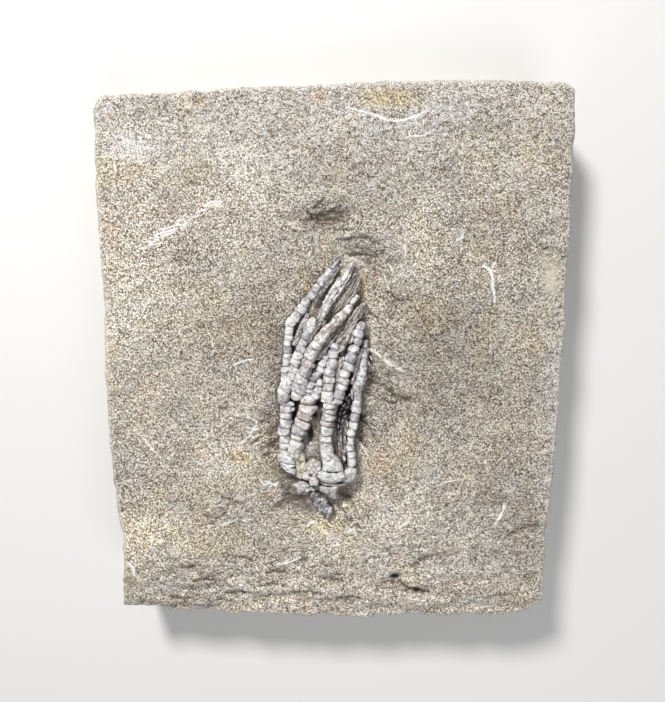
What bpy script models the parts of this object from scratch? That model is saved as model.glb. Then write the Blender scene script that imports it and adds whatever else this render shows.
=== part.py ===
"""A fossil sea lily (crinoid crown) lying on its slab of sandy siltstone.

The slab lies on its flat sawn back. X runs across it, Y along it from the stem
end to the tips of the arms, and Z up from the back to the face with the fossil.
The origin is at the middle of the back. Lengths in the tables are in
millimetres; Blender's own units are metres.
"""

import math

import bmesh
import bpy
import numpy as np

MM = 0.001
CENTRING = (-0.17, 0.85, 0.0)  # added to every point, to put the origin at the middle of the back
GAP = 0.3  # clearance between a piece and what it lies on
SIDE_GAP = 0.15  # taken off each arm's width, so that neighbours stay clear
SEED = 41

# ---------------------------------------------------------------- slab
FACE = 17.0  # thickness of the slab, from its back to its face

# The four edges of the slab. Neighbouring edges share their corner point.
LEFT_EDGE = [
    (-47.2, -55.8), (-46.5, -47.0), (-46.2, -38.2), (-47.1, -34.8), (-47.9, -27.0),
    (-48.5, -6.0), (-48.1, 14.0), (-48.6, 33.0), (-48.3, 45.0), (-48.5, 51.0),
]
RIGHT_EDGE = [
    (46.6, -54.6), (46.5, -47.0), (47.0, -41.0), (46.6, -38.0), (47.1, -36.6),
    (47.8, -24.0), (48.4, -4.0), (48.8, 9.0), (48.5, 11.0), (48.8, 26.0),
    (48.9, 40.0), (48.4, 55.2),
]
TOP_EDGE = [
    (-48.5, 51.0), (-47.8, 53.0), (-46.4, 54.1), (-30.0, 54.8), (-12.0, 55.7),
    (10.0, 56.7), (30.0, 56.9), (46.4, 56.4), (48.4, 55.2),
]
BOTTOM_EDGE = [
    (-47.2, -55.8), (-43.9, -56.3), (-39.0, -56.6), (-36.0, -57.3), (-28.0, -57.5),
    (-16.7, -58.2), (-5.0, -58.5), (8.3, -58.9), (17.4, -58.2), (25.4, -58.4),
    (30.0, -57.8), (35.0, -58.4), (39.0, -58.2), (42.6, -57.2), (44.6, -56.2),
    (46.6, -54.6),
]
EDGE_ROUGHNESS = 0.22  # how far the broken edges wander from their line
RIM = 0.9  # width and drop of the worn rim around the face
FOOT = 0.7  # width and height of the worn rim around the back
WALL_BULGE = 0.35

# The bed below the fossil: a hollow cut around the crown, with the crown's own
# filling standing up inside it.
CROWN_BASE = (-4.2, -26.0)
CROWN_TIP = (3.0, 18.5)
CROWN_HALF_WIDTH = (8.2, 7.6, 3.2)  # at the base, at the middle and at the tip
HOLLOW_DEPTH = (2.1, 0.5)  # at the base and at the tip of the crown
HOLLOW_REACH = 4.2
FILLING_RISE = 1.9
FILLING_SLOPE = 5.5

# Chipped ledges along the lower edge: start, drop and length of each step.
LEDGES = [(-47.5, 0.3, 1.6), (-50.8, 0.5, 1.3), (-53.6, 0.6, 1.1), (-56.4, 0.5, 1.0)]
LEDGE_WANDER = 1.3

# Small pits and chips in the face: centre, radii, depth.
PITS = [
    (-2.9, 29.6, 3.2, 1.4, 0.9),  # above the crown
    (-4.4, 25.2, 1.2, 3.4, 0.35),
    (13.6, -48.7, 1.6, 1.2, 1.2),  # by the lower edge
    (19.0, -52.2, 4.2, 0.9, 0.9),
    (-8.9, -27.8, 1.6, 2.0, 1.0),  # beside the foot of the cup
    (2.2, -29.4, 1.8, 2.4, 1.2),
    (44.9, 17.9, 3.4, 5.2, 0.5),  # chip by the right edge
]

# ---------------------------------------------------------------- crinoid
# Centre line of each piece from base to tip: x, y, width, and how high its
# crest stands above the slab's face. The second value counts its plates.
ARMS = {
    "ray_1": (6, [
        (-10.6, -19.5, 2.3, 1.3), (-10.4, -15.5, 2.4, 1.4), (-10.1, -11.8, 2.5, 1.5),
        (-9.9, -9.1, 2.9, 1.8)]),
    "ray_1_fork": (2, [
        (-10.6, -8.6, 2.4, 2.1), (-10.5, -6.6, 2.4, 2.5), (-10.1, -5.0, 2.5, 2.4),
        (-9.8, -3.7, 2.3, 2.1)]),
    "arm_1": (22, [
        (-10.1, -3.2, 1.4, 1.4), (-9.8, -1.2, 1.6, 1.5), (-9.5, 1.5, 1.8, 1.4),
        (-9.2, 5.0, 1.9, 1.4), (-8.8, 8.0, 1.9, 1.5), (-7.7, 9.6, 2.2, 1.7),
        (-5.5, 13.2, 1.8, 1.4), (-2.4, 17.6, 1.6, 1.0), (0.7, 21.4, 1.0, 0.5)]),
    "arm_2": (9, [
        (-8.6, -3.0, 1.6, 2.4), (-7.9, -0.5, 2.0, 2.5), (-7.2, 2.0, 2.1, 2.4),
        (-6.3, 4.5, 2.0, 2.2), (-5.1, 7.3, 2.2, 2.3), (-4.2, 9.6, 1.9, 2.2)]),
    "arm_3": (14, [
        (-7.5, -7.4, 3.2, 3.7), (-7.1, -4.8, 2.8, 3.8), (-5.6, -0.9, 2.7, 3.9),
        (-4.4, 1.8, 2.7, 3.9), (-2.9, 4.8, 2.5, 3.6), (-0.5, 7.3, 2.8, 3.4),
        (1.3, 9.2, 2.5, 3.0), (2.6, 10.7, 1.9, 2.5), (5.1, 13.8, 1.4, 1.6)]),
    "ray_2": (7, [
        (-8.5, -19.0, 2.4, 2.4), (-7.4, -16.0, 2.9, 2.9), (-6.4, -13.6, 3.3, 3.2),
        (-5.9, -11.6, 3.3, 3.5), (-5.3, -9.2, 3.4, 3.5), (-5.1, -7.6, 2.9, 3.2)]),
    "arm_4": (8, [
        (-5.5, -7.2, 1.8, 2.6), (-4.6, -4.5, 1.8, 2.5), (-3.5, -2.2, 1.6, 2.2),
        (-2.2, -0.1, 1.4, 1.9), (-1.0, 2.4, 1.1, 1.5)]),
    "arm_5": (3, [(-3.7, -7.1, 1.6, 2.6), (-3.1, -5.3, 1.6, 2.4), (-2.8, -3.8, 1.0, 2.0)]),
    "ray_3": (7, [
        (-1.0, -20.0, 3.0, 3.2), (-1.6, -17.0, 3.0, 3.4), (-1.6, -14.8, 2.9, 3.6),
        (-1.2, -11.7, 3.0, 3.9), (-0.6, -8.3, 3.2, 4.0)]),
    "arm_6": (9, [
        (-1.3, -7.6, 1.9, 3.8), (-1.1, -5.2, 2.1, 3.7), (-0.9, -2.9, 2.1, 3.6),
        (-0.5, -0.3, 2.0, 3.4), (0.3, 3.9, 1.2, 2.5)]),
    "arm_7": (12, [
        (0.9, -7.8, 1.8, 3.6), (1.4, -5.8, 2.1, 3.5), (2.3, -3.0, 2.1, 3.2),
        (3.4, 0.4, 2.0, 2.9), (4.6, 3.2, 1.7, 2.5), (6.1, 8.0, 1.5, 1.7)]),
    "ray_4": (8, [
        (3.9, -21.9, 1.8, 1.4), (3.6, -18.8, 1.8, 1.3), (3.7, -16.2, 1.8, 1.3),
        (4.3, -13.5, 1.9, 1.3), (4.8, -9.9, 2.0, 1.4)]),
    "arm_8": (11, [
        (5.0, -9.4, 1.9, 1.4), (5.1, -5.3, 1.7, 1.4), (5.8, -3.2, 1.8, 1.4),
        (6.2, -0.2, 1.7, 1.3), (6.8, 4.2, 1.0, 0.8)]),
    "stem": (5, [
        (-4.2, -29.4, 2.6, 0.4), (-2.5, -31.6, 2.6, 0.3), (-0.4, -34.6, 2.3, 0.1)]),
    "pinnule_crest": (8, [
        (-2.6, 9.3, 1.6, 2.0), (-1.1, 12.2, 2.2, 2.5), (0.5, 15.0, 2.1, 2.2),
        (2.4, 17.6, 1.5, 1.7), (3.8, 20.4, 1.0, 1.1)]),
    "pinnules_left": (5, [
        (-3.3, 12.4, 1.2, 0.8), (-1.4, 16.0, 1.6, 1.0), (1.0, 19.2, 1.1, 0.7)]),
    "pinnules_middle": (6, [
        (0.6, 10.9, 1.7, 1.6), (2.2, 13.4, 2.4, 1.6), (3.9, 15.9, 2.3, 1.4),
        (5.1, 18.0, 1.3, 1.0)]),
    "pinnules_right": (5, [
        (2.7, 7.0, 1.3, 1.6), (4.3, 9.7, 1.9, 1.4), (5.9, 12.1, 1.5, 1.0)]),
    "pinnules_low": (5, [
        (2.1, -20.0, 1.6, 0.8), (1.8, -17.1, 1.9, 1.0), (1.6, -13.9, 1.4, 0.7)]),
}
# Half of an arm's cross-section, as shares of its width and height.
SECTION = [(0.42, 0.0), (0.50, 0.50), (0.40, 0.82), (0.18, 1.0)]
WAIST_WIDTH = 0.78  # an arm's width at the joint between two plates
WAIST_DROP = 0.42  # how far the crest dips there
TIP_TAPER = 0.80
PLATE_VARIATION = 0.06

# The cup's outline, anticlockwise from its left shoulder.
CUP_CENTRE = (-4.0, -23.4)
CUP_OUTLINE = [
    (-12.0, -20.2), (-12.3, -21.6), (-11.4, -23.4), (-9.5, -25.0), (-8.1, -25.9),
    (-8.2, -27.5), (-7.0, -29.4), (-5.8, -28.3), (-4.5, -27.6), (-3.0, -28.1),
    (-1.8, -29.2), (-0.8, -30.2), (0.1, -29.0), (0.8, -27.1), (2.5, -26.3),
    (4.3, -25.2), (4.7, -23.2), (2.9, -22.9), (1.7, -20.9), (-0.3, -20.5),
    (-2.4, -20.6), (-3.8, -19.4), (-6.0, -19.5), (-8.2, -20.0), (-10.0, -20.3),
]
CUP_RINGS = [0.0, 0.25, 0.48, 0.68, 0.84, 0.95, 1.0]
CUP_EDGE_CREST = -0.3
# Domed plates of the cup: centre, radii, crest above the face.
CUP_PLATES = [
    (-10.4, -21.9, 2.6, 1.9, 2.0),  # left radial
    (-0.3, -22.2, 2.9, 1.7, 3.5),  # upper half of the middle radial
    (-0.5, -24.7, 3.2, 1.2, 3.0),  # its lower half
    (3.2, -24.5, 1.9, 1.4, 1.7),  # right radial
    (-4.5, -23.0, 2.1, 2.0, 2.4),  # patch of tiny plates
    (-6.8, -27.4, 1.7, 1.9, 1.4),  # left basal
    (-1.3, -28.1, 2.0, 1.7, 1.4),  # right basal
    (-4.2, -25.6, 1.1, 1.0, 2.0),  # small plate between the basals
]

COLOURS = {
    "matrix_slab": (0.42, 0.36, 0.28),
    "stem": (0.30, 0.29, 0.33),
    "cup": (0.60, 0.57, 0.55),
    "pinnule_crest": (0.58, 0.57, 0.58),
    "pinnules": (0.34, 0.29, 0.27),
    "arm": (0.56, 0.54, 0.54),
}
ROUGHNESS = 0.85


# ---------------------------------------------------------------- shape rules
def smooth_step(low, high, value):
    share = np.clip((value - low) / (high - low), 0.0, 1.0)
    return share * share * (3.0 - 2.0 * share)


def crown_place(x, y):
    """Share of the way from the crown's base to its tip, and distance outside it."""
    base = np.array(CROWN_BASE)
    axis = np.array(CROWN_TIP) - base
    share = ((x - base[0]) * axis[0] + (y - base[1]) * axis[1]) / (axis @ axis)
    share = np.clip(share, 0.0, 1.0)
    away = np.hypot(x - base[0] - share * axis[0], y - base[1] - share * axis[1])
    return share, away - np.interp(share, [0.0, 0.5, 1.0], CROWN_HALF_WIDTH)


def ground(x, y):
    """Height in millimetres of the stone's surface above the slab's back."""
    x, y = np.asarray(x, float), np.asarray(y, float)
    ripple = 0.22 * np.sin(0.17 * y - 0.05 * x + 0.6) + 0.16 * np.sin(0.11 * x + 0.31 * y)
    share, outside = crown_place(x, y)
    near = np.exp(-((np.maximum(outside, 0.0) / HOLLOW_REACH) ** 2))
    depth = HOLLOW_DEPTH[0] + (HOLLOW_DEPTH[1] - HOLLOW_DEPTH[0]) * share
    filling = FILLING_RISE * smooth_step(0.0, FILLING_SLOPE, -outside)
    height = FACE + ripple * (1.0 - near) - depth * near + filling
    for start, drop, length in LEDGES:
        wander = LEDGE_WANDER * np.sin(0.13 * x + start) + 0.5 * np.sin(0.41 * x + 2 * start)
        height = height - drop * smooth_step(0.0, length, start + wander - y)
    for px, py, rx, ry, pit_depth in PITS:
        height = height - pit_depth * np.exp(-(((x - px) / rx) ** 2) - ((y - py) / ry) ** 2)
    return height


def smooth_line(points, samples):
    """Catmull-Rom curve through the points, read at evenly spaced lengths."""
    points = np.array(points, float)
    ends = 2 * points[0] - points[1], 2 * points[-1] - points[-2]
    padded = np.vstack([ends[0], points, ends[1]])
    share = np.linspace(0, 1, 24, endpoint=False)[:, None]
    pieces = []
    for a, b, c, d in zip(padded, padded[1:], padded[2:], padded[3:]):
        pieces.append(
            0.5 * (2 * b + (c - a) * share + (2 * a - 5 * b + 4 * c - d) * share**2
                   + (3 * b - a - 3 * c + d) * share**3)
        )
    dense = np.vstack(pieces + [points[-1:]])
    steps = np.hypot(*np.diff(dense[:, :2], axis=0).T)
    length = np.concatenate([[0.0], np.cumsum(steps)])
    wanted = np.linspace(0, length[-1], samples)
    return np.column_stack([np.interp(wanted, length, column) for column in dense.T])


# ---------------------------------------------------------------- meshes
def add_object(name, vertices, faces, colour, smooth):
    mesh = bpy.data.meshes.new(name)
    mesh.from_pydata([tuple(v) for v in (np.array(vertices) + CENTRING) * MM], [], faces)
    model = bmesh.new()
    model.from_mesh(mesh)
    bmesh.ops.recalc_face_normals(model, faces=model.faces)
    bmesh.ops.triangulate(model, faces=model.faces)
    model.to_mesh(mesh)
    model.free()
    if smooth:
        mesh.shade_smooth()
        mesh.set_sharp_from_angle(angle=math.radians(50))
    material = bpy.data.materials.new(name)
    material.use_nodes = True
    shader = material.node_tree.nodes["Principled BSDF"]
    shader.inputs["Base Color"].default_value = (*colour, 1.0)
    shader.inputs["Roughness"].default_value = ROUGHNESS
    shader.inputs["Metallic"].default_value = 0.0
    mesh.materials.append(material)
    part = bpy.data.objects.new(name, mesh)
    bpy.context.scene.collection.objects.link(part)
    return part


def spaced(stops):
    """Positions from 0 to 1, from (end, number of cells) stretches."""
    positions = [0.0]
    for end, cells in stops:
        positions.extend(np.linspace(positions[-1], end, cells + 1)[1:])
    return np.array(positions)


def slab_grid(inset):
    """Points of the slab's face, spread between its four edges."""
    across = spaced([(0.34, 7), (0.64, 12), (1.0, 7)])
    along = spaced([(0.095, 7), (0.19, 3), (0.72, 22), (1.0, 6)])

    def edge(points, values, axis):
        points = np.array(points)
        path = points[0, axis] + values * (points[-1, axis] - points[0, axis])
        other = np.interp(path, points[:, axis], points[:, 1 - axis])
        return np.column_stack([path, other] if axis == 0 else [other, path])

    bottom, top = edge(BOTTOM_EDGE, across, 0), edge(TOP_EDGE, across, 0)
    left, right = edge(LEFT_EDGE, along, 1), edge(RIGHT_EDGE, along, 1)
    u, v = across[None, :, None], along[:, None, None]
    grid = (1 - v) * bottom + v * top + (1 - u) * left[:, None] + u * right[:, None]
    corners = (1 - u) * (1 - v) * bottom[0] + u * (1 - v) * bottom[-1]
    grid = grid - corners - (1 - u) * v * top[0] - u * v * top[-1]
    middle = (grid.reshape(-1, 2).max(0) + grid.reshape(-1, 2).min(0)) / 2
    reach = (grid.reshape(-1, 2).max(0) - grid.reshape(-1, 2).min(0)) / 2
    return (grid - middle) * (1 - inset / reach) + middle


def rim_of(grid_indices):
    """Indices of a grid's border, anticlockwise."""
    return np.concatenate([
        grid_indices[0, :-1], grid_indices[:-1, -1], grid_indices[-1, :0:-1], grid_indices[:0:-1, 0]
    ])


def matrix_slab():
    rng = np.random.default_rng(SEED)
    face = slab_grid(RIM)
    rows, columns = face.shape[:2]
    index = np.arange(rows * columns).reshape(rows, columns)
    flat = face.reshape(-1, 2)
    vertices = [(x, y, z) for (x, y), z in zip(flat, ground(flat[:, 0], flat[:, 1]))]
    faces = [
        (index[r, c], index[r, c + 1], index[r + 1, c + 1], index[r + 1, c])
        for r in range(rows - 1)
        for c in range(columns - 1)
    ]
    border = rim_of(index)
    outer = slab_grid(0.0).reshape(-1, 2)[border]
    outward = outer / np.linalg.norm(outer, axis=1)[:, None]
    rough = rng.normal(0.0, EDGE_ROUGHNESS, (3, len(border)))
    top = np.array(vertices)[border, 2]
    rings = [
        (outer - outward * np.abs(rough[0])[:, None], top - RIM),
        (outer - outward * (WALL_BULGE - rough[1])[:, None] * 0.6, top * 0.5),
        (outer - outward * (WALL_BULGE + np.abs(rough[2]))[:, None], np.full(len(border), FOOT)),
        (outer - outward * (WALL_BULGE + FOOT), np.zeros(len(border))),
    ]
    above = border
    for places, heights in rings:
        below = len(vertices) + np.arange(len(border))
        vertices.extend((x, y, z) for (x, y), z in zip(places, heights))
        for i in range(len(border)):
            j = (i + 1) % len(border)
            faces.append((above[i], below[i], below[j], above[j]))
        above = below
    faces.append(tuple(above[::-1]))
    add_object("matrix_slab", vertices, [tuple(int(i) for i in f) for f in faces],
               COLOURS["matrix_slab"], smooth=False)


def arm_colour(name):
    if name in COLOURS:
        return COLOURS[name]
    return COLOURS["pinnules" if name.startswith("pinnules") else "arm"]


def arm(name, plates, points, rng):
    """A row of plates: one ring at each joint and one at each plate's middle."""
    line = smooth_line(points, 2 * plates + 1)
    direction = np.gradient(line[:, :2], axis=0)
    direction /= np.linalg.norm(direction, axis=1)[:, None]
    side = np.column_stack([direction[:, 1], -direction[:, 0]])
    section = SECTION + [(-across, up) for across, up in SECTION[::-1]]
    vertices = []
    for i, (x, y, width, crest) in enumerate(line):
        at_joint = i % 2 == 0
        at_end = i in (0, len(line) - 1)
        width *= 1 + rng.uniform(-PLATE_VARIATION, PLATE_VARIATION)
        width *= (TIP_TAPER if at_end else WAIST_WIDTH) if at_joint else 1.0
        crest = FACE + crest - (WAIST_DROP * (2.0 if at_end else 1.0) if at_joint else 0.0)
        for across, up in section:
            px, py = np.array([x, y]) + side[i] * across * (width - SIDE_GAP)
            low = float(ground(px, py)) + GAP
            vertices.append((px, py, low + up * (crest - low)))
    sides = len(section)
    faces = [tuple(range(sides)), tuple(range(len(vertices) - 1, len(vertices) - sides - 1, -1))]
    for ring in range(len(line) - 1):
        for k in range(sides):
            a, b = ring * sides + k, ring * sides + (k + 1) % sides
            faces.append((a, b, b + sides, a + sides))
    add_object(name, vertices, faces, arm_colour(name), smooth=True)


def cup_height(x, y):
    """Top of the cup: the highest of its domed plates, and low between them."""
    best = CUP_EDGE_CREST
    for px, py, rx, ry, crest in CUP_PLATES:
        away = ((x - px) / rx) ** 2 + ((y - py) / ry) ** 2
        best = max(best, crest - 0.9 * away**1.5)
    return FACE + best


def cup():
    centre = np.array(CUP_CENTRE)
    outline = np.array(CUP_OUTLINE)
    count = len(outline)
    tops, bottoms = [], []
    for share in CUP_RINGS[1:]:
        for place in centre + share * (outline - centre):
            low = float(ground(*place)) + GAP
            height = cup_height(*place)
            if share == 1.0:
                height = min(height, FACE + CUP_EDGE_CREST)
            tops.append((*place, max(height, low + 0.5)))
            bottoms.append((*place, low))
    middle = [(*centre, cup_height(*centre)), (*centre, float(ground(*centre)) + GAP)]
    vertices = middle + tops + bottoms
    faces = []
    for layer, start in enumerate((2, 2 + len(tops))):
        for k in range(count):
            following = (k + 1) % count
            faces.append((layer, start + k, start + following))
            for ring in range(len(CUP_RINGS) - 2):
                a, b = start + ring * count + k, start + ring * count + following
                faces.append((a, a + count, b + count, b))
    last = (len(CUP_RINGS) - 2) * count
    for k in range(count):
        a, b = 2 + last + k, 2 + last + (k + 1) % count
        faces.append((a, a + len(tops), b + len(tops), b))
    add_object("cup", vertices, faces, COLOURS["cup"], smooth=True)


def build():
    for old in list(bpy.data.objects):
        bpy.data.objects.remove(old, do_unlink=True)
    matrix_slab()
    cup()
    rng = np.random.default_rng(SEED)
    for name, (plates, points) in ARMS.items():
        arm(name, plates, points, rng)


build()
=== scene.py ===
"""Looks of the crinoid fossil: the stone with its grain and tool marks, the plated arms, the cup,
the stub of stem and the matted pinnules, with the camera and lights.

Lengths in the tables are millimetres in the model's own frame: X across the slab, Y from the stem
end to the arm tips, Z up from the flat back. Meshes are written in metres.
"""

import math

import bmesh
import bpy
import numpy as np
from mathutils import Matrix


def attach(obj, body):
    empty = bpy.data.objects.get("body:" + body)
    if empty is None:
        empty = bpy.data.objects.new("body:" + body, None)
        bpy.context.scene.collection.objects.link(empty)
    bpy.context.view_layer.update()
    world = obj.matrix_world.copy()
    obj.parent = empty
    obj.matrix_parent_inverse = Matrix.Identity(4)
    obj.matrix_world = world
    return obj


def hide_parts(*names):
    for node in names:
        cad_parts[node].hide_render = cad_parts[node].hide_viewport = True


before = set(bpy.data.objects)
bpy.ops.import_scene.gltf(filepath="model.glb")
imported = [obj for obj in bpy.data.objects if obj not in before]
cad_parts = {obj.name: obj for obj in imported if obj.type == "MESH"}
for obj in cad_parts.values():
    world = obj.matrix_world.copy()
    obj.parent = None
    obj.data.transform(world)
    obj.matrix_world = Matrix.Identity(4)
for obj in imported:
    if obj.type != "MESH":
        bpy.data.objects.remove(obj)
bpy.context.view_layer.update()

MM = 0.001
CENTRING = np.array([-0.17, 0.85, 0.0])  # added to every point, as in the solids
SEED = 41

# ---------------------------------------------------------------- slab
# Outline, hollow, ledges and pits as the solids have them, but for FILLING_RISE, which is 0.3 mm
# more here, and for the softer ledges at the right.
FACE = 17.0
LEFT_EDGE = [
    (-47.2, -55.8), (-46.5, -47.0), (-46.2, -38.2), (-47.1, -34.8), (-47.9, -27.0), (-48.5, -6.0),
    (-48.1, 14.0), (-48.6, 33.0), (-48.3, 45.0), (-48.5, 51.0),
]
RIGHT_EDGE = [
    (46.6, -54.6), (46.5, -47.0), (47.0, -41.0), (46.6, -38.0), (47.1, -36.6), (47.8, -24.0),
    (48.4, -4.0), (48.8, 9.0), (48.5, 11.0), (48.8, 26.0), (48.9, 40.0), (48.4, 55.2),
]
TOP_EDGE = [
    (-48.5, 51.0), (-47.8, 53.0), (-46.4, 54.1), (-30.0, 54.8), (-12.0, 55.7), (10.0, 56.7),
    (30.0, 56.9), (46.4, 56.4), (48.4, 55.2),
]
BOTTOM_EDGE = [
    (-47.2, -55.8), (-43.9, -56.3), (-39.0, -56.6), (-36.0, -57.3), (-28.0, -57.5), (-16.7, -58.2),
    (-5.0, -58.5), (8.3, -58.9), (17.4, -58.2), (25.4, -58.4), (30.0, -57.8), (35.0, -58.4),
    (39.0, -58.2), (42.6, -57.2), (44.6, -56.2), (46.6, -54.6),
]
RIM = 0.9
FOOT = 0.7
CROWN_BASE = (-4.2, -26.0)
CROWN_TIP = (3.0, 18.5)
CROWN_HALF_WIDTH = (8.2, 7.6, 3.2)
HOLLOW_DEPTH = (2.1, 0.5)
HOLLOW_REACH = 4.2
FILLING_RISE = 2.2
FILLING_SLOPE = 5.5
LEDGES = [
    (-47.5, 0.3, 1.6), (-50.8, 0.5, 1.3), (-53.6, 0.6, 1.1), (-56.4, 0.5, 1.0),
]
LEDGE_WANDER = 1.3
LEDGE_SOFTENING = 2.4  # how much gentler they are at the right
LEDGE_SOFT_FROM = (10.0, 20.0)
PITS = [
    (-2.9, 29.6, 3.2, 1.4, 0.9), (-4.4, 25.2, 1.2, 3.4, 0.35), (13.6, -48.7, 1.6, 1.2, 1.2),
    (19.0, -52.2, 4.2, 0.9, 0.9), (-8.9, -27.8, 1.6, 2.0, 1.0), (2.2, -29.4, 1.8, 2.4, 1.2),
    (44.9, 17.9, 3.4, 5.2, 0.5),
]

# ---------------------------------------------------------------- marks on the stone
# Small deep holes among the arms: centre, radii, depth.
HOLES = [
    (3.1, -10.9, 0.6, 0.7, 1.3), (-5.0, -15.4, 0.6, 1.7, 1.6), (-4.1, -11.4, 0.5, 0.7, 1.4),
    (-3.3, -9.0, 0.5, 0.7, 1.4), (3.6, -4.9, 0.7, 0.5, 1.2), (4.6, -0.8, 0.4, 0.8, 1.2),
    (5.6, -12.6, 0.5, 1.0, 0.9), (2.4, -7.4, 1.0, 1.2, 0.6), (-3.4, -29.0, 1.7, 0.8, 1.0),
    (13.6, -48.8, 1.0, 0.65, 1.1), (-5.0, -18.0, 0.5, 1.2, 0.6), (-8.3, -12.0, 0.4, 1.0, 0.9),
    (-8.6, -16.0, 0.35, 0.9, 0.9),
]
# Lumps of stone between the lower rays and beside the pinnule crest: centre, radii, rise.
LUMPS = [
    (-7.2, -22.2, 1.1, 2.4, 1.6), (-4.7, -19.2, 1.6, 1.3, 0.8), (-3.9, -15.2, 0.9, 2.6, 0.5),
    (-4.5, 11.0, 1.3, 1.6, 1.1), (-3.0, 13.4, 1.2, 1.7, 1.0), (-1.3, 15.8, 1.1, 1.8, 0.7),
    (0.2, 18.2, 1.0, 1.6, 0.5), (1.9, -19.8, 0.9, 2.6, 0.7), (2.8, -16.0, 0.7, 2.6, 0.5),
    (-6.9, 7.2, 0.7, 2.4, 0.7), (-2.6, 8.4, 0.8, 1.7, 0.8),
]
# Scratches: half width, strength, then the points they run through.
SCRATCHES = [
    (0.32, 1.0, [(7.7, 50.2), (11.9, 48.8), (15.4, 49.4), (18.9, 50.8)]), (0.26, 0.8, [(2.5, 51.6),
    (6.0, 50.6), (11.9, 48.8)]), (0.3, 0.9, [(14.8, 45.7), (18.2, 46.1), (20.4, 47.3)]),
    (0.34, 1.0, [(30.9, 20.2), (32.6, 18.7), (33.1, 16.0), (33.5, 12.5)]), (0.24, 0.7, [(33.6, 21.0),
    (32.6, 18.7)]), (0.34, 0.9, [(25.2, 24.9), (26.4, 25.7), (26.8, 26.5)]), (0.24, 0.8, [(14.7, 24.6),
    (14.9, 21.8)]), (0.3, 0.7, [(12.2, 25.4), (14.4, 24.0)]), (0.26, 0.8, [(11.5, 20.4), (12.4, 18.2),
    (13.0, 17.3)]), (0.26, 0.7, [(13.8, 18.6), (13.8, 17.4)]), (0.26, 0.7, [(13.9, 15.7),
    (13.4, 14.7)]), (0.4, 0.9, [(35.3, -36.2), (36.6, -34.1), (37.3, -31.6)]),
    (0.2, 0.6, [(34.0, -34.2), (36.6, -34.1)]), (0.17, 0.7, [(18.7, -26.2), (19.0, -28.2),
    (19.7, -30.5), (20.4, -33.0)]), (0.2, 0.7, [(14.7, -30.1), (16.8, -29.1), (18.6, -28.7)]),
    (0.22, 0.8, [(22.4, -27.3), (24.6, -26.4), (26.7, -25.8)]), (0.24, 0.8, [(24.4, -29.1),
    (26.8, -29.1)]), (0.45, 0.9, [(14.6, -36.6), (16.4, -35.6)]), (0.3, 0.6, [(11.0, -37.2),
    (12.2, -38.8)]), (0.28, 0.9, [(-20.9, -0.7), (-19.2, 0.0), (-17.0, 0.5)]), (0.2, 0.5, [(-47.2, 3.7),
    (-42.0, 4.6), (-37.6, 6.0)]), (0.24, 0.5, [(-25.5, 5.0), (-25.4, 1.3)]),
    (0.26, 0.9, [(-18.5, -12.0), (-17.0, -12.7), (-16.3, -13.6), (-17.2, -14.7), (-18.1, -16.4),
    (-19.0, -16.9)]), (0.26, 0.9, [(-15.3, -14.2), (-16.6, -14.9), (-18.7, -14.4)]),
    (0.26, 0.8, [(-41.0, -16.4), (-39.4, -18.6), (-37.8, -20.6)]), (0.5, 1.0, [(-45.1, -45.0),
    (-44.2, -46.0), (-43.9, -47.8)]), (0.5, 0.3, [(6.4, 2.7), (8.0, 2.2), (10.7, 0.1), (12.4, -1.0)]),
    (0.55, 0.5, [(12.0, -0.8), (15.3, -2.4)]), (0.2, 0.8, [(5.1, -17.3), (6.1, -18.9), (7.7, -21.1)]),
    (0.28, 0.6, [(10.4, 18.5), (11.6, 14.8)]), (0.3, 0.8, [(-15.9, -26.4), (-15.0, -27.6),
    (-14.0, -26.7)]), (0.34, 0.8, [(-14.2, -27.1), (-12.9, -27.8), (-12.0, -27.3)]),
    (0.3, 0.5, [(-28.0, -36.6), (-24.0, -36.0), (-20.5, -34.8)]), (0.36, 0.8, [(-12.0, -45.6),
    (-9.0, -44.6), (-7.2, -43.9)]), (0.6, 0.7, [(-5.2, -36.4), (-4.2, -36.0)]),
    (0.45, 0.8, [(3.2, -37.8), (4.2, -37.2)]), (0.4, 0.8, [(-34.6, 32.1), (-34.2, 32.1)]),
]
# The rasp mark at the upper left: short strokes that overlap along one line.
RASP = [
    [(-40.11, 23.29), (-39.52, 23.61), (-38.61, 23.45)], [(-38.25, 23.97), (-37.43, 24.29),
    (-36.17, 24.47), (-35.01, 24.81)], [(-38.11, 24.47), (-37.19, 24.81), (-35.9, 25.48)],
    [(-37.02, 26.16), (-36.12, 25.82), (-36.25, 25.26)], [(-36.12, 25.78), (-34.85, 26.09),
    (-33.24, 26.61), (-32.43, 26.99)], [(-36.79, 26.32), (-35.29, 26.61), (-33.91, 27.13),
    (-31.95, 27.48)], [(-36.06, 27.39), (-34.57, 27.66), (-33.19, 28.0), (-31.7, 28.29)],
    [(-32.59, 28.9), (-32.04, 28.4), (-31.59, 28.11), (-30.44, 28.47), (-29.86, 28.96)],
    [(-32.24, 29.08), (-30.87, 29.37), (-29.74, 29.08)], [(-29.97, 29.08), (-29.27, 29.52),
    (-28.24, 29.86), (-27.2, 30.19)], [(-28.21, 30.75), (-27.66, 30.31), (-27.89, 29.97)],
    [(-27.99, 30.64), (-26.72, 31.15), (-25.35, 31.53)], [(-26.35, 32.42), (-26.2, 31.98),
    (-24.88, 32.2), (-23.51, 32.42), (-22.71, 32.64)], [(-26.01, 32.35), (-24.64, 32.75),
    (-23.28, 32.87), (-22.48, 32.98)], [(-35.61, 27.22), (-34.12, 27.62), (-33.42, 27.84)],
    [(-34.14, 26.83), (-32.99, 27.13), (-31.84, 27.62)],
]
RASP_HALF_WIDTH = 0.24
RASP_POWDER = 0.20  # half width of the whitened stone under a stroke
# Dotted scratch at the left: beads along a line.
DOT_LINE = [(-42.2, -21.6), (-41.5, -28.2), (-41.0, -33.4)]
DOTS = 13
DOT_RADIUS = 0.24
LINE_STEP = 0.8  # spacing of the points on which a mark's line is bent
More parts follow.
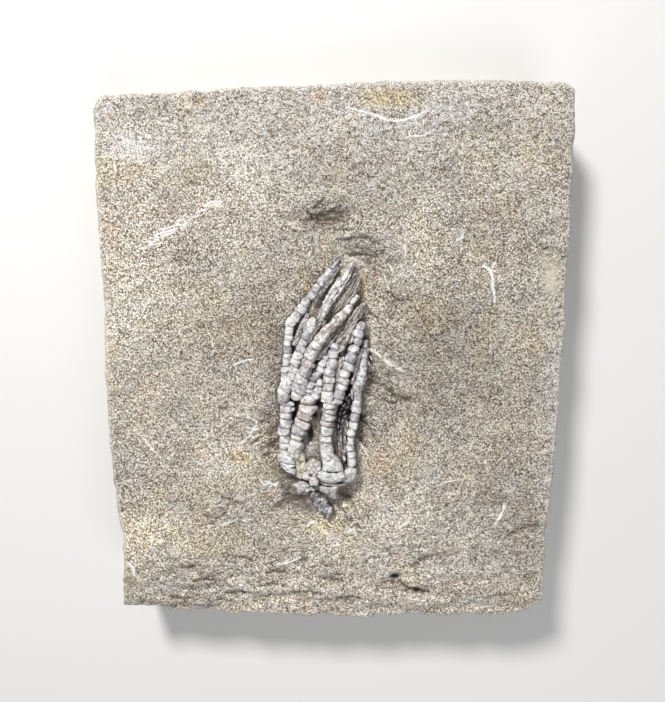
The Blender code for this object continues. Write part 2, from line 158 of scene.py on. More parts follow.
# Grooves that fan out from the crown, and cracks, darkened with painted shade: half width, depth, points.
GROOVES = [
    (0.5, 0.65, [(7.0, -2.7), (8.2, -3.1), (9.6, -4.0)]), (0.46, 0.6, [(7.1, -4.0), (8.8, -4.6),
    (10.5, -5.5)]), (0.42, 0.45, [(10.5, -5.5), (13.1, -7.2), (14.8, -8.1), (16.5, -8.8)]),
    (0.34, 0.4, [(7.3, 1.8), (7.6, 0.5), (8.2, -0.6)]), (0.34, 0.3, [(9.9, -7.9), (12.0, -8.8),
    (14.2, -9.0)]), (0.3, 0.25, [(5.7, -12.2), (7.0, -12.0), (8.2, -11.8)]), (0.26, 0.25, [(5.1, -17.1),
    (5.9, -18.4)]), (0.26, 0.25, [(2.7, -34.8), (4.5, -36.0), (6.3, -37.1)]), (0.24, 0.2, [(1.2, -32.6),
    (4.2, -35.0)]), (0.26, 0.3, [(-0.1, 26.9), (1.3, 27.5), (3.0, 27.5)]), (0.32, 0.3, [(1.3, 25.5),
    (2.6, 25.3), (3.8, 25.7)]), (0.3, 0.25, [(9.0, 22.2), (9.8, 22.6), (10.4, 23.2)]),
    (0.24, 0.26, [(-4.4, 29.7), (-2.3, 30.5), (0.5, 30.9)]), (0.24, 0.3, [(-4.0, 30.5), (-1.9, 31.1),
    (-0.1, 31.3)]), (0.26, 0.3, [(-3.4, 29.1), (-1.9, 29.5), (-0.5, 29.5)]), (0.28, 0.35, [(-6.0, 29.1),
    (-5.2, 29.3), (-4.6, 29.5)]), (0.24, 0.25, [(-4.2, 31.5), (-3.0, 32.7), (-1.7, 33.9)]),
    (0.3, 0.2, [(-5.8, 32.1), (-5.2, 31.1), (-4.4, 30.1)]), (0.3, 0.25, [(0.7, 30.7), (2.2, 31.1),
    (3.4, 31.3)]), (0.3, 0.25, [(0.3, 31.7), (1.5, 32.1)]), (0.26, 0.35, [(3.6, 22.2), (4.6, 22.4),
    (5.9, 22.2)]), (0.3, 0.25, [(7.7, 23.0), (8.6, 22.4), (9.8, 21.6)]), (0.26, 0.2, [(-4.4, 26.1),
    (-4.2, 24.9)]), (0.26, 0.2, [(-4.2, 24.0), (-4.0, 22.2)]), (0.25, 0.2, [(-8.9, 27.5),
    (-7.5, 27.1)]), (0.3, 0.25, [(3.8, 25.7), (5.5, 25.9), (7.9, 25.3), (9.6, 24.4)]),
    (0.26, 0.15, [(3.6, 22.2), (5.9, 22.6), (9.2, 21.8)]), (0.26, 0.2, [(10.7, 15.0), (12.2, 14.2),
    (13.5, 12.3)]), (0.26, 0.15, [(12.0, 13.8), (13.9, 13.1), (16.4, 12.9)]), (0.3, 0.2, [(7.6, 10.2),
    (9.8, 9.0)]), (0.45, 0.7, [(14.8, -49.5), (17.0, -51.6), (19.0, -52.3), (21.9, -52.8)]),
    (0.45, 0.35, [(46.9, -36.8), (43.0, -36.6), (38.5, -38.6)]), (0.32, 0.2, [(-28.4, -33.9),
    (-25.8, -34.8), (-23.4, -33.5)]), (0.28, 0.2, [(-24.2, -29.8), (-22.0, -30.5), (-20.3, -31.2)]),
    (0.28, 0.2, [(-22.8, -43.1), (-20.1, -43.4), (-17.9, -44.3)]), (0.35, 0.25, [(11.4, -49.8),
    (13.6, -49.6)]), (0.3, 0.3, [(-34.0, -46.2), (-30.5, -45.6)]), (0.34, 0.35, [(-24.0, -52.6),
    (-21.5, -52.0), (-19.6, -52.2)]), (0.34, 0.35, [(-16.4, -50.6), (-13.0, -50.0), (-10.8, -50.4)]),
    (0.34, 0.4, [(-9.0, -52.4), (-6.0, -51.9), (-2.6, -52.6)]), (0.34, 0.35, [(-3.0, -49.6),
    (-0.4, -49.0), (3.6, -49.8)]), (0.34, 0.3, [(-31.0, -49.2), (-28.6, -48.6), (-26.0, -49.0)]),
    (0.34, 0.35, [(1.0, -53.8), (3.6, -53.4), (6.2, -53.9)]), (0.34, 0.3, [(-14.6, -47.2),
    (-12.0, -46.9), (-10.6, -47.3)]), (0.34, 0.3, [(-37.0, -53.2), (-34.0, -53.8), (-31.4, -53.6)]),
]
# Pale ridges left standing: half width, rise, points.
RIDGES = [
    (0.3, 0.35, [(-0.5, 27.1), (0.7, 27.8), (2.2, 27.9), (3.8, 28.1)]), (0.45, 0.35, [(2.4, 26.1),
    (3.2, 26.1)]), (0.42, 0.4, [(1.6, 20.4), (2.4, 21.0), (3.6, 21.2), (5.1, 21.0), (6.1, 20.2),
    (6.7, 18.9)]), (0.26, 0.25, [(11.7, 19.7), (12.7, 18.9), (13.6, 17.9)]), (0.22, 0.2, [(12.5, 20.8),
    (13.3, 20.0)]), (0.4, 0.25, [(-8.7, 27.5), (-7.7, 27.7), (-6.9, 27.5)]), (0.24, 0.2, [(5.1, -17.3),
    (6.4, -19.1), (7.7, -21.1)]), (0.5, 0.4, [(6.4, 2.9), (8.2, 2.2), (10.7, 0.5), (12.6, -0.9),
    (15.3, -2.4)]), (0.3, 0.2, [(6.8, 6.4), (7.9, 5.0), (8.3, 3.7)]),
]
# Zones worked over by a tool or finely layered: centre, radii, direction in degrees, depth.
WORKED = [
    (-2.0, 29.4, 7.5, 3.8, 14, 0.26), (5.5, 25.0, 6.5, 3.2, -6, 0.24),
    (10.0, 21.5, 5.0, 4.5, -34, 0.26), (12.5, 15.0, 4.5, 5.0, -38, 0.18),
    (11.0, -4.6, 6.5, 3.8, -28, 0.4), (9.0, 3.0, 4.0, 4.0, -50, 0.16),
    (8.5, -14.0, 3.4, 7.0, -52, 0.34), (-14.0, -18.5, 3.8, 8.0, 32, 0.42),
    (-13.0, 10.0, 4.0, 7.0, 28, 0.16), (-24.0, -33.0, 12.0, 5.0, 12, 0.22),
    (4.2, -34.0, 5.0, 4.5, -42, 0.38), (-10.0, -30.0, 5.0, 4.5, 24, 0.42),
    (0.0, -44.5, 50.0, 4.2, 3, 0.28), (27.0, -32.0, 14.0, 9.0, 18, 0.14),
    (-36.0, -12.0, 12.0, 14.0, 14, 0.1), (20.0, 42.0, 26.0, 9.0, 8, 0.14),
    (30.0, 8.0, 15.0, 16.0, 10, 0.09), (-28.0, 42.0, 16.0, 9.0, 10, 0.12),
    (13.5, -7.2, 5.0, 1.7, -30, 0.3),
]
# Fine streaks in those zones: name, direction in degrees.
STREAKS = [("streak_fall", -36.0), ("streak_level", 7.0), ("streak_rise", 28.0)]
# Coloured patches of each kind: centre, radii, strength.
PATCHES = {
    "bloom": [
        (24.3, 51.0, 9.0, 4.5, 0.85), (-41.0, 44.0, 6.5, 3.8, 1.0), (-46.2, 51.5, 3.0, 3.0, 0.8),
        (46.0, 36.0, 2.4, 9.0, 0.5), (-17.6, -14.5, 2.4, 3.2, 0.6), (-14.2, -28.0, 3.0, 2.0, 0.55),
        (-39.7, -49.0, 3.6, 1.8, 0.5), (36.3, -34.0, 3.0, 2.4, 0.5), (24.8, -6.6, 1.4, 1.0, 0.7),
        (20.0, -37.6, 2.6, 1.2, 0.5), (41.0, 46.0, 4.0, 7.0, 0.45), (30.0, 42.0, 12.0, 12.0, 0.4),
        (47.0, -8.0, 5.0, 44.0, 0.65), (-38.0, -50.5, 7.0, 2.4, 0.7), (-22.0, -51.0, 6.0, 2.0, 0.6),
        (32.0, -54.5, 9.0, 2.2, 0.6), (-44.0, -24.0, 3.0, 8.0, 0.45), (38.0, -27.0, 4.0, 3.0, 0.45),
        (2.0, 24.5, 2.6, 2.0, 0.45), (-30.0, -46.0, 9.0, 3.0, 0.35), (4.0, 52.0, 80.0, 22.0, 0.6),
        (30.0, -43.0, 18.0, 10.0, 0.42), (15.0, 19.0, 5.0, 5.0, 0.3), (-36.0, -41.0, 6.0, 4.0, 0.35),
    ],
    "ochre": [
        (11.7, 53.3, 8.0, 2.4, 0.75), (6.3, 16.6, 0.9, 1.6, 0.9), (-5.5, 15.6, 0.5, 1.7, 1.1),
        (-7.2, -22.0, 1.0, 3.0, 0.6), (-20.5, -21.0, 3.0, 1.8, 0.6), (-2.0, -36.5, 6.0, 2.6, 0.45),
        (20.0, 10.5, 6.0, 4.0, 0.42), (-29.0, 38.0, 8.0, 5.0, 0.32), (-26.0, 6.0, 10.0, 8.0, 0.3),
        (-36.0, 0.0, 12.0, 26.0, 0.14), (12.0, -22.0, 8.0, 6.0, 0.32), (-26.7, 52.7, 2.2, 1.0, 0.6),
        (-6.4, 18.6, 3.0, 2.4, 0.35),
    ],
    "rust": [
        (-3.1, 53.6, 2.0, 1.5, 0.85), (-40.9, 38.9, 2.4, 2.0, 0.6), (-45.6, 26.7, 2.4, 4.0, 0.55),
        (20.0, 8.0, 4.6, 2.6, 0.4), (-28.0, -21.0, 4.6, 2.8, 0.36), (9.2, 17.6, 1.4, 2.2, 0.5),
        (-14.0, 4.0, 2.4, 5.4, 0.45), (33.0, -28.0, 5.0, 3.0, 0.36), (27.0, -28.9, 1.6, 1.0, 0.6),
        (22.5, 25.5, 3.4, 1.4, 0.45), (-14.4, -29.6, 2.0, 0.9, 0.6), (10.0, -22.0, 3.0, 5.0, 0.38),
    ],
    # Painted shade in the deep holes and pits among the arms and under the dark plates, with one dark slate
    # patch of stone.
    "hole_shade": [
        (2.7, -7.4, 1.1, 1.6, 1.0), (1.5, -10.8, 1.2, 2.6, 1.0), (0.9, -13.8, 0.8, 2.0, 0.9),
        (3.3, -11.0, 1.0, 1.2, 0.9), (-5.0, -15.2, 0.8, 2.0, 1.0), (-4.0, -11.4, 0.7, 1.0, 0.9),
        (-3.2, -8.9, 0.6, 1.0, 0.9), (3.6, -4.9, 1.0, 0.7, 1.0), (-2.6, 8.0, 1.0, 1.2, 0.7),
        (13.6, -48.8, 1.1, 0.7, 1.4), (-17.4, -14.6, 1.1, 2.0, 0.45), (-3.4, -29.2, 2.0, 0.9, 0.8),
        (5.9, -12.4, 0.6, 1.3, 0.8),
    ],
    # Painted shade in the hollows round the crown, the stem and the pits, with some broader darker stone.
    "shade": [
        (-13.2, -15.0, 2.4, 9.5, 0.75), (-11.6, -24.4, 3.2, 4.0, 0.95), (-8.9, -29.0, 3.4, 2.8, 0.95),
        (2.2, -29.4, 2.4, 3.0, 0.75), (6.6, -14.6, 1.6, 7.0, 0.85), (9.0, -10.0, 4.0, 10.0, 0.5),
        (-2.2, 29.2, 6.0, 2.8, 1.0), (5.6, 24.6, 5.5, 2.2, 0.45), (10.3, 22.4, 3.6, 4.0, 0.6),
        (11.4, 7.2, 3.6, 2.2, 0.5), (-8.8, 30.6, 4.0, 3.0, 0.4), (-43.0, 26.0, 8.0, 8.0, 0.25),
        (-20.0, -27.0, 6.0, 4.0, 0.3), (28.0, -16.0, 5.0, 5.0, 0.3), (-12.4, 4.0, 2.2, 10.0, 0.75),
        (2.0, -35.4, 4.5, 2.4, 0.4), (-5.8, -32.6, 3.0, 2.2, 0.6), (12.0, 12.0, 3.6, 3.6, 0.25),
        (11.0, -4.6, 5.0, 2.8, 0.28), (-28.0, 4.0, 16.0, 15.0, 0.18),
    ],
    "cream": [
        (45.2, 17.4, 2.2, 5.4, 0.9), (-7.2, -22.2, 1.1, 3.0, 0.95), (1.9, -19.4, 0.9, 3.0, 0.5),
        (-5.6, -36.1, 0.9, 0.6, 0.7), (3.6, -37.5, 1.2, 0.8, 0.7), (-4.8, 10.0, 1.2, 0.9, 0.9),
        (-3.6, 13.0, 1.6, 2.4, 0.5), (-22.5, 28.6, 0.8, 0.8, 0.4), (-0.6, 17.0, 1.0, 3.0, 0.4),
    ],
    "pale_blue": [
        (-4.0, 25.4, 0.5, 4.0, 1.1), (-4.6, -18.9, 1.3, 1.6, 0.6),
    ],
}
# Broad darker and lighter clouds, from seeded noise: size of the largest in millimetres, strength
# and middle as the natural logarithm of the change in brightness.
CLOUD_SIZE = 20.0
CLOUD_STRENGTH = 0.24
CLOUD_MIDDLE = -0.03


# ---------------------------------------------------------------- noise
def lattice(ix, iy, iz, seed):
    """Repeatable random values from -1 to 1 at whole-number places."""
    mixed = (
        ix.astype(np.uint32) * np.uint32(374761393)
        + iy.astype(np.uint32) * np.uint32(668265263)
        + iz.astype(np.uint32) * np.uint32(2246822519)
        + np.uint32(seed * 97531 % 4294967291)
    )
    mixed = (mixed ^ (mixed >> np.uint32(13))) * np.uint32(1274126177)
    mixed = mixed ^ (mixed >> np.uint32(16))
    return (mixed & np.uint32(0xFFFF)).astype(float) / 32767.5 - 1.0


def noise(x, y, z, cell, seed, creased=False):
    """Value noise with features about one cell across, smooth or with creases between cells."""
    places = [np.asarray(v, float) / cell for v in np.broadcast_arrays(x, y, z)]
    whole = [np.floor(v).astype(np.int64) for v in places]
    part = [v - w for v, w in zip(places, whole)]
    if not creased:
        part = [p * p * (3 - 2 * p) for p in part]
    total = 0.0
    for dx in (0, 1):
        for dy in (0, 1):
            for dz in (0, 1):
                share = (part[0] if dx else 1 - part[0]) * (part[1] if dy else 1 - part[1])
                share = share * (part[2] if dz else 1 - part[2])
                total = total + share * lattice(whole[0] + dx, whole[1] + dy, whole[2] + dz, seed)
    return total


def fractal(x, y, z, cell, seed, octaves=3):
    """Noise with finer and weaker noise added to it."""
    return sum(
        noise(x, y, z, cell / 2**k, seed + 7 * k) / 2**k for k in range(octaves)
    )


def smooth_step(low, high, value):
    """0 at low, 1 at high and beyond, with a gentle start and end; low may be the larger."""
    share = np.clip((value - low) / (high - low), 0.0, 1.0)
    return share * share * (3.0 - 2.0 * share)


def bell(x, y, px, py, rx, ry):
    """1 at a centre, falling smoothly away over two radii."""
    return np.exp(-(((x - px) / rx) ** 2) - ((y - py) / ry) ** 2)


# ---------------------------------------------------------------- curves
def spline(points, steps):
    """Catmull-Rom curve from the second point of a list to its last but one."""
    share = np.linspace(0, 1, steps, endpoint=False)[:, None]
    return np.vstack([
        0.5 * (2 * b + (c - a) * share + (2 * a - 5 * b + 4 * c - d) * share**2
               + (3 * b - a - 3 * c + d) * share**3)
        for a, b, c, d in zip(points, points[1:], points[2:], points[3:])
    ])


def smooth_line(points, spacing):
    """A smooth curve through the points, read at even lengths; returns rows and lengths."""
    points = np.array(points, float)
    padded = np.vstack([2 * points[0] - points[1], points, 2 * points[-1] - points[-2]])
    dense = np.vstack([spline(padded, 24), points[-1:]])
    length = np.concatenate([[0.0], np.cumsum(np.hypot(*np.diff(dense[:, :2], axis=0).T))])
    wanted = np.linspace(0, length[-1], max(3, int(round(length[-1] / spacing)) + 1))
    return np.column_stack([np.interp(wanted, length, column) for column in dense.T]), wanted


def directions(line):
    """Unit vectors along a line of points and to the side of it."""
    along = np.gradient(line[:, :2], axis=0)
    along /= np.linalg.norm(along, axis=1)[:, None]
    return along, np.column_stack([along[:, 1], -along[:, 0]])


def distance_to_line(x, y, points):
    """Distance of every place to a chain of straight runs."""
    nearest = np.full(np.shape(x), 1e9)
    for (ax, ay), (bx, by) in zip(points, points[1:]):
        dx, dy = bx - ax, by - ay
        share = np.clip(((x - ax) * dx + (y - ay) * dy) / (dx * dx + dy * dy), 0, 1)
        nearest = np.minimum(nearest, np.hypot(x - ax - share * dx, y - ay - share * dy))
    return nearest


# ---------------------------------------------------------------- stone surface
def crown_place(x, y):
    """Share of the way from the crown's base to its tip, and distance outside it."""
    base = np.array(CROWN_BASE)
    axis = np.array(CROWN_TIP) - base
    share = ((x - base[0]) * axis[0] + (y - base[1]) * axis[1]) / (axis @ axis)
    share = np.clip(share, 0.0, 1.0)
    away = np.hypot(x - base[0] - share * axis[0], y - base[1] - share * axis[1])
    return share, away - np.interp(share, [0.0, 0.5, 1.0], CROWN_HALF_WIDTH)


def ground(x, y):
    """Height of the stone's surface above the back, without its fine texture."""
    ripple = 0.22 * np.sin(0.17 * y - 0.05 * x + 0.6) + 0.16 * np.sin(0.11 * x + 0.31 * y)
    share, outside = crown_place(x, y)
    near = np.exp(-((np.maximum(outside, 0.0) / HOLLOW_REACH) ** 2))
    depth = HOLLOW_DEPTH[0] + (HOLLOW_DEPTH[1] - HOLLOW_DEPTH[0]) * share
    filling = FILLING_RISE * smooth_step(0.0, FILLING_SLOPE, -outside)
    height = FACE + ripple * (1.0 - near) - depth * near + filling
    for start, drop, length in LEDGES:
        wander = LEDGE_WANDER * np.sin(0.13 * x + start) + 0.5 * np.sin(0.41 * x + 2 * start)
        wander = wander + 0.7 * noise(x, y, start, 2.4, SEED + 3)
        wander = wander + 0.45 * noise(x, y, start, 0.9, SEED + 8)
        slope = length * (1 + LEDGE_SOFTENING * smooth_step(*LEDGE_SOFT_FROM, x))
        height = height - drop * smooth_step(0.0, 1.0, (start + wander - y) / slope)
    for *place, pit_depth in PITS + HOLES:
        height = height - pit_depth * bell(x, y, *place)
    for *place, rise in LUMPS:
        height = height + rise * bell(x, y, *place)
    return height


def dot_places():
    """Places of the beads along the dotted scratch."""
    line, _ = smooth_line(DOT_LINE, 0.3)
    return line[np.linspace(0, len(line) - 1, DOTS).astype(int)]


def scratch_mask(x, y):
    """How strongly the powder of the scratches whitens the stone at every place."""
    mask = np.zeros(np.shape(x))
    for width, strength, points in SCRATCHES:
        bent, _ = smooth_line(points, LINE_STEP)
        away = distance_to_line(x, y, bent[:, :2]) / width
        mask = np.maximum(mask, strength * np.exp(-(away**2)))
    for points in RASP:
        away = distance_to_line(x, y, points) / RASP_POWDER
        mask = np.maximum(mask, 0.7 * np.exp(-(away**2)))
    for px, py in dot_places():
        away = np.hypot(x - px, y - py) / DOT_RADIUS
        mask = np.maximum(mask, 0.8 * np.exp(-(away**2)))
    return mask


def line_mask(x, y, lines):
    """Strength and height of ragged lines, each with a half width and a height."""
    strength, height = np.zeros(np.shape(x)), np.zeros(np.shape(x))
    ragged = 0.22 * noise(x, y, 0.0, 0.9, SEED + 6) + 0.18 * noise(x, y, 0.0, 0.45, SEED + 7)
    for width, rise, points in lines:
        bent, _ = smooth_line(points, LINE_STEP)
        away = np.maximum(distance_to_line(x, y, bent[:, :2]) + ragged, 0.0)
        here = np.exp(-((away / width) ** 2))
        strength, height = np.maximum(strength, here), np.maximum(height, rise * here)
    return strength, height


def in_zone(x, y, px, py, rx, ry, angle):
    """Places along and across a worked zone, and how far inside it they are."""
    turn = math.radians(angle)
    dx, dy = x - px, y - py
    along = dx * math.cos(turn) + dy * math.sin(turn)
    across = -dx * math.sin(turn) + dy * math.cos(turn)
    return along, across, bell(along, across, 0.0, 0.0, rx, ry)


def worked_relief(x, y):
    """Depth of the short ragged grooves in the worked zones, and their painted shade."""
    depth, dark = np.zeros(np.shape(x)), np.zeros(np.shape(x))
    for number, (*zone, deep) in enumerate(WORKED):
        along, across, here = in_zone(x, y, *zone)
        bent = across + 0.5 * noise(x, y, 0.0, 3.0, 70 + number)
        lines = noise(along / 3.6, bent, 0.0, 0.62, 80 + number)
        lines = lines + 0.6 * noise(along / 2.4, bent, 0.0, 1.3, 90 + number)
        cut = smooth_step(0.05, 0.85, lines)
        depth = depth + deep * here * (1.6 * cut - 0.35 * lines)
        dark = np.maximum(dark, np.minimum(here * deep * 4.5, 1.0) * cut)
    return depth, dark


def streak_zones(x, y):
    """How strongly fine streaks show, for each of the directions they run in."""
    zones = {name: np.zeros(np.shape(x)) for name, _ in STREAKS}
    for *zone, deep in WORKED:
        name = min(STREAKS, key=lambda streak: abs(streak[1] - zone[-1]))[0]
        zones[name] = np.maximum(zones[name], min(1.0, 2.6 * deep) * in_zone(x, y, *zone)[2])
    return zones


def surface(x, y):
    """Height of the stone with its bedding, lumps, broken ledges, scratches and grooves."""
    tilt = math.radians(12)
    along = (x * math.cos(tilt) + y * math.sin(tilt)) / 2.6
    across = -x * math.sin(tilt) + y * math.cos(tilt)
    _, outside = crown_place(x, y)
    open_face = smooth_step(-2.0, 2.0, outside)
    height = ground(x, y)
    height = height + (0.04 + 0.12 * open_face) * fractal(along, across, 0.0, 3.6, SEED, 3)
    height = height + (0.18 - 0.09 * open_face) * fractal(x, y, 0.5, 1.3, SEED + 1, 2)
    height = height + 0.05 * noise(x, y, 0.0, 0.52, SEED + 4)
    broken = smooth_step(-43.0, -49.0, y)
    ridges = 1 - 2 * np.abs(noise(along * 0.7, across, 0.0, 1.7, SEED + 2))
    height = height + broken * (0.30 * ridges + 0.22 * fractal(x, y, 0.0, 1.1, SEED + 5, 2))
    height = height - worked_relief(x, y)[0]
    height = height - line_mask(x, y, GROOVES)[1] + line_mask(x, y, RIDGES)[1]
    return height


# ---------------------------------------------------------------- meshes
def add_piece(name, vertices, faces, material, attributes, recalculate=True):
    """A smooth mesh object from vertices in millimetres, with one value a vertex for each attribute."""
    mesh = bpy.data.meshes.new(name)
    mesh.from_pydata(((np.asarray(vertices) + CENTRING) * MM).tolist(), [], faces)
    if recalculate:
        model = bmesh.new()
        model.from_mesh(mesh)
        bmesh.ops.recalc_face_normals(model, faces=model.faces)
        model.to_mesh(mesh)
        model.free()
    for key, values in attributes.items():
        layer = mesh.attributes.new(key, "FLOAT", "POINT")
        layer.data.foreach_set("value", np.asarray(values, np.float32))
    mesh.shade_smooth()
    mesh.materials.append(material)
    piece = bpy.data.objects.new(name, mesh)
    bpy.context.scene.collection.objects.link(piece)
    return piece


def settle(piece, slot, *nodes):
    """Ties a piece to the one body and hides the solids it stands for."""
    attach(piece, "root")
    if nodes:
        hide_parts(*nodes)


def tube_faces(rings, sides, start=0, caps=True):
    """Faces of a closed tube whose rings follow each other in the vertex list."""
    k = np.arange(sides)
    a = start + np.arange(rings - 1)[:, None] * sides + k
    b = start + np.arange(rings - 1)[:, None] * sides + (k + 1) % sides
    faces = np.stack([a, b, b + sides, a + sides], -1).reshape(-1, 4).tolist()
    if caps:
        faces.append((start + k[::-1]).tolist())
        faces.append((start + (rings - 1) * sides + k).tolist())
    return faces


class Parts:
    """Collects closed shapes, with their attributes, into one mesh."""

    def __init__(self):
        self.vertices, self.faces, self.values = [], [], {}
        self.count = 0

    def add(self, vertices, faces, **attributes):
        vertices = np.asarray(vertices, float)
        self.faces.extend([[i + self.count for i in face] for face in faces])
        self.vertices.append(vertices)
        self.count += len(vertices)
        for key, value in attributes.items():
            value = np.broadcast_to(np.asarray(value, float), len(vertices))
            self.values.setdefault(key, []).append(value)

    def make(self, name, material, slot, *nodes):
        """One object from all the shapes, tied to the body, with the solids it stands for hidden."""
        values = {key: np.concatenate(parts) for key, parts in self.values.items()}
        piece = add_piece(name, np.vstack(self.vertices), self.faces, material, values)
        settle(piece, slot, *nodes)


# ---------------------------------------------------------------- powdery scratches
RIBBON_STEP = 0.09
SHADE_STRIP_SHARE = 0.46  # width of the painted shade strip, as a share of its groove
WIDEST_SHADE_STRIP = 0.36
SHADE_STRIP_STRENGTH = 0.60
SHADE_STRIP_RISE = 0.09
SHADE_STRIP_FILL = 0.32  # share of the groove's depth that the painted shade strip fills


def ribbon(parts, points, half_width, strength, rng, ragged=0.75, raised=0.0):
    """A thin crust of powder, or a strip of painted shade, along a line, broken where the strength is low."""
    line, length = smooth_line(points, RIBBON_STEP)
    _, side = directions(line)
    ends = np.clip(np.minimum(length, length[-1] - length) / (2.5 * half_width) + 0.15, 0, 1)
    seed = int(rng.integers(1000))
    flow = noise(length, 0.0, 0.0, 0.9, seed) + 0.8 * noise(length, 0.0, 0.0, 0.3, seed + 1)
    width = half_width * ends * np.clip(strength * 1.15 + ragged * flow, 0.0, 1.5)
    wander = 0.35 * half_width * noise(length, 5.0, 0.0, 0.7, seed)
    rows = []
    for offset, lift in ((-1.0, -0.12), (-0.45, 0.03), (0.0, 0.05), (0.45, 0.03), (1.0, -0.12)):
        jagged = 1 + 0.4 * noise(length, 9.0 * offset, 0.0, 0.25, seed + 2)
        place = line[:, :2] + side * (wander + offset * width * jagged)[:, None]
        height = surface(place[:, 0], place[:, 1]) + np.where(width > 0.04, lift + raised, -0.15)
        rows.append(np.column_stack([place, height]))
    rows.append(rows[2] - [0.0, 0.0, 0.3])
    parts.add(np.stack(rows, 1).reshape(-1, 3), tube_faces(len(line), len(rows)))


def scratches(material):
    """The white powder of the scratches, the rasp mark and the dotted line."""
    parts = Parts()
    rng = np.random.default_rng(SEED + 29)
    for half_width, strength, points in SCRATCHES:
        ribbon(parts, points, 0.8 * half_width, strength, rng)
    for points in RASP:
        ribbon(parts, points, RASP_HALF_WIDTH, 1.0, rng, 0.15)
    for px, py in dot_places():
        ribbon(parts, [(px - 0.05, py - 0.22), (px + 0.05, py + 0.22)], 0.2, 0.9, rng)
    parts.make("scratches", material, "siltstone")


def groove_shade(material):
    """Dark strips of painted shade along the bottom of the grooves."""
    parts = Parts()
    rng = np.random.default_rng(SEED + 33)
    for half_width, depth, points in GROOVES:
        width = SHADE_STRIP_SHARE * min(half_width, WIDEST_SHADE_STRIP)
        ribbon(parts, points, width, SHADE_STRIP_STRENGTH, rng, 0.75, SHADE_STRIP_RISE + SHADE_STRIP_FILL * depth)
    parts.make("groove_shade", material, "siltstone")


# ---------------------------------------------------------------- slab mesh
def spaced(stops):
    """Positions from 0 to 1, from (end, number of cells) stretches."""
    positions = [0.0]
    for end, cells in stops:
        positions.extend(np.linspace(positions[-1], end, cells + 1)[1:])
    return np.array(positions)


# Finer where the crown, the rasp mark and the broken lower edge lie.
ACROSS = spaced([(0.08, 17), (0.27, 50), (0.355, 22), (0.59, 94), (1.0, 77)])
ALONG = spaced([(0.10, 27), (0.175, 20), (0.73, 164), (0.80, 22), (1.0, 46)])


def edge_points(points, values, axis, seed, bite=0.16):
    """Points along one edge of the slab, with the small bites of a broken edge."""
    points = np.array(points)
    path = points[0, axis] + values * (points[-1, axis] - points[0, axis])
    other = np.interp(path, points[:, axis], points[:, 1 - axis])
    bites = bite * fractal(path, 0.0, 0.0, 2.6, seed, 3)
    other = other + bites * smooth_step(0.0, 0.03, values) * smooth_step(1.0, 0.97, values)
    return np.column_stack([path, other] if axis == 0 else [other, path])


def slab_grid(inset):
    """Places over the whole face, in rows, drawn in from the slab's outline by an inset."""
    bottom, top = edge_points(BOTTOM_EDGE, ACROSS, 0, 11, 0.32), edge_points(TOP_EDGE, ACROSS, 0, 12)
    left, right = edge_points(LEFT_EDGE, ALONG, 1, 13), edge_points(RIGHT_EDGE, ALONG, 1, 14)
    u, v = ACROSS[None, :, None], ALONG[:, None, None]
    grid = (1 - v) * bottom + v * top + (1 - u) * left[:, None] + u * right[:, None]
    corners = (1 - u) * (1 - v) * bottom[0] + u * (1 - v) * bottom[-1]
    grid = grid - corners - (1 - u) * v * top[0] - u * v * top[-1]
    flat = grid.reshape(-1, 2)
    middle, reach = (flat.max(0) + flat.min(0)) / 2, (flat.max(0) - flat.min(0)) / 2
    return (grid - middle) * (1 - inset / reach) + middle


def arm_foot_shade(x, y):
    """How close every place is to the foot of an arm, 1 where they touch and 0 about 1 mm away: where the
    stone is darkened with painted shade.
    """
    nearest = np.full(np.shape(x), 1e9)
    inside = np.flatnonzero((np.abs(x + 2.5) < 13) & (y > -34) & (y < 25))
    for _, _, points in ARMS.values():
        line, _ = smooth_line(points, 0.5)
        for px, py, width, _ in line:
            away = np.hypot(x[inside] - px, y[inside] - py) - 0.5 * width
            nearest[inside] = np.minimum(nearest[inside], away)
    return 1 - smooth_step(0.0, 1.0, nearest)


def stone_attributes(x, y):
    """How strongly each kind of mark colours the stone at every place."""
    values = {}
    for kind, patches in PATCHES.items():
        values[kind] = np.zeros(len(x))
        for *place, strength in patches:
            values[kind] = np.maximum(values[kind], strength * bell(x, y, *place))
    clouds = fractal(x, y, 0.0, CLOUD_SIZE, SEED + 50, 2)
    values["tone"] = CLOUD_MIDDLE + CLOUD_STRENGTH * clouds
    values["scratch"] = scratch_mask(x, y)
    values["groove"] = np.maximum(line_mask(x, y, GROOVES)[0], 0.8 * worked_relief(x, y)[1])
    values["ridge"] = line_mask(x, y, RIDGES)[0]
    values.update(streak_zones(x, y))
    _, outside = crown_place(x, y)
    lumps = sum(bell(x, y, px, py, 1.3 * rx, ry) for px, py, rx, ry, _ in LUMPS)
    clean = np.minimum(lumps, 1.0)
    upper = smooth_step(3.0, 14.0, y)
    # Inside the crown the stone is darker between the arms, partly darker matrix and partly painted shade; at
    # the foot of the arms it gets painted shade.
    values["bed"] = smooth_step(1.2, -1.0, outside) * (1 - clean) * (1 - 0.75 * upper)
    values["arm_foot_shade"] = arm_foot_shade(x, y) * (1 - 0.5 * clean) * (1 - 0.35 * upper)
    return values


WALL_LEVELS = 15
RIM_STEPS = 4


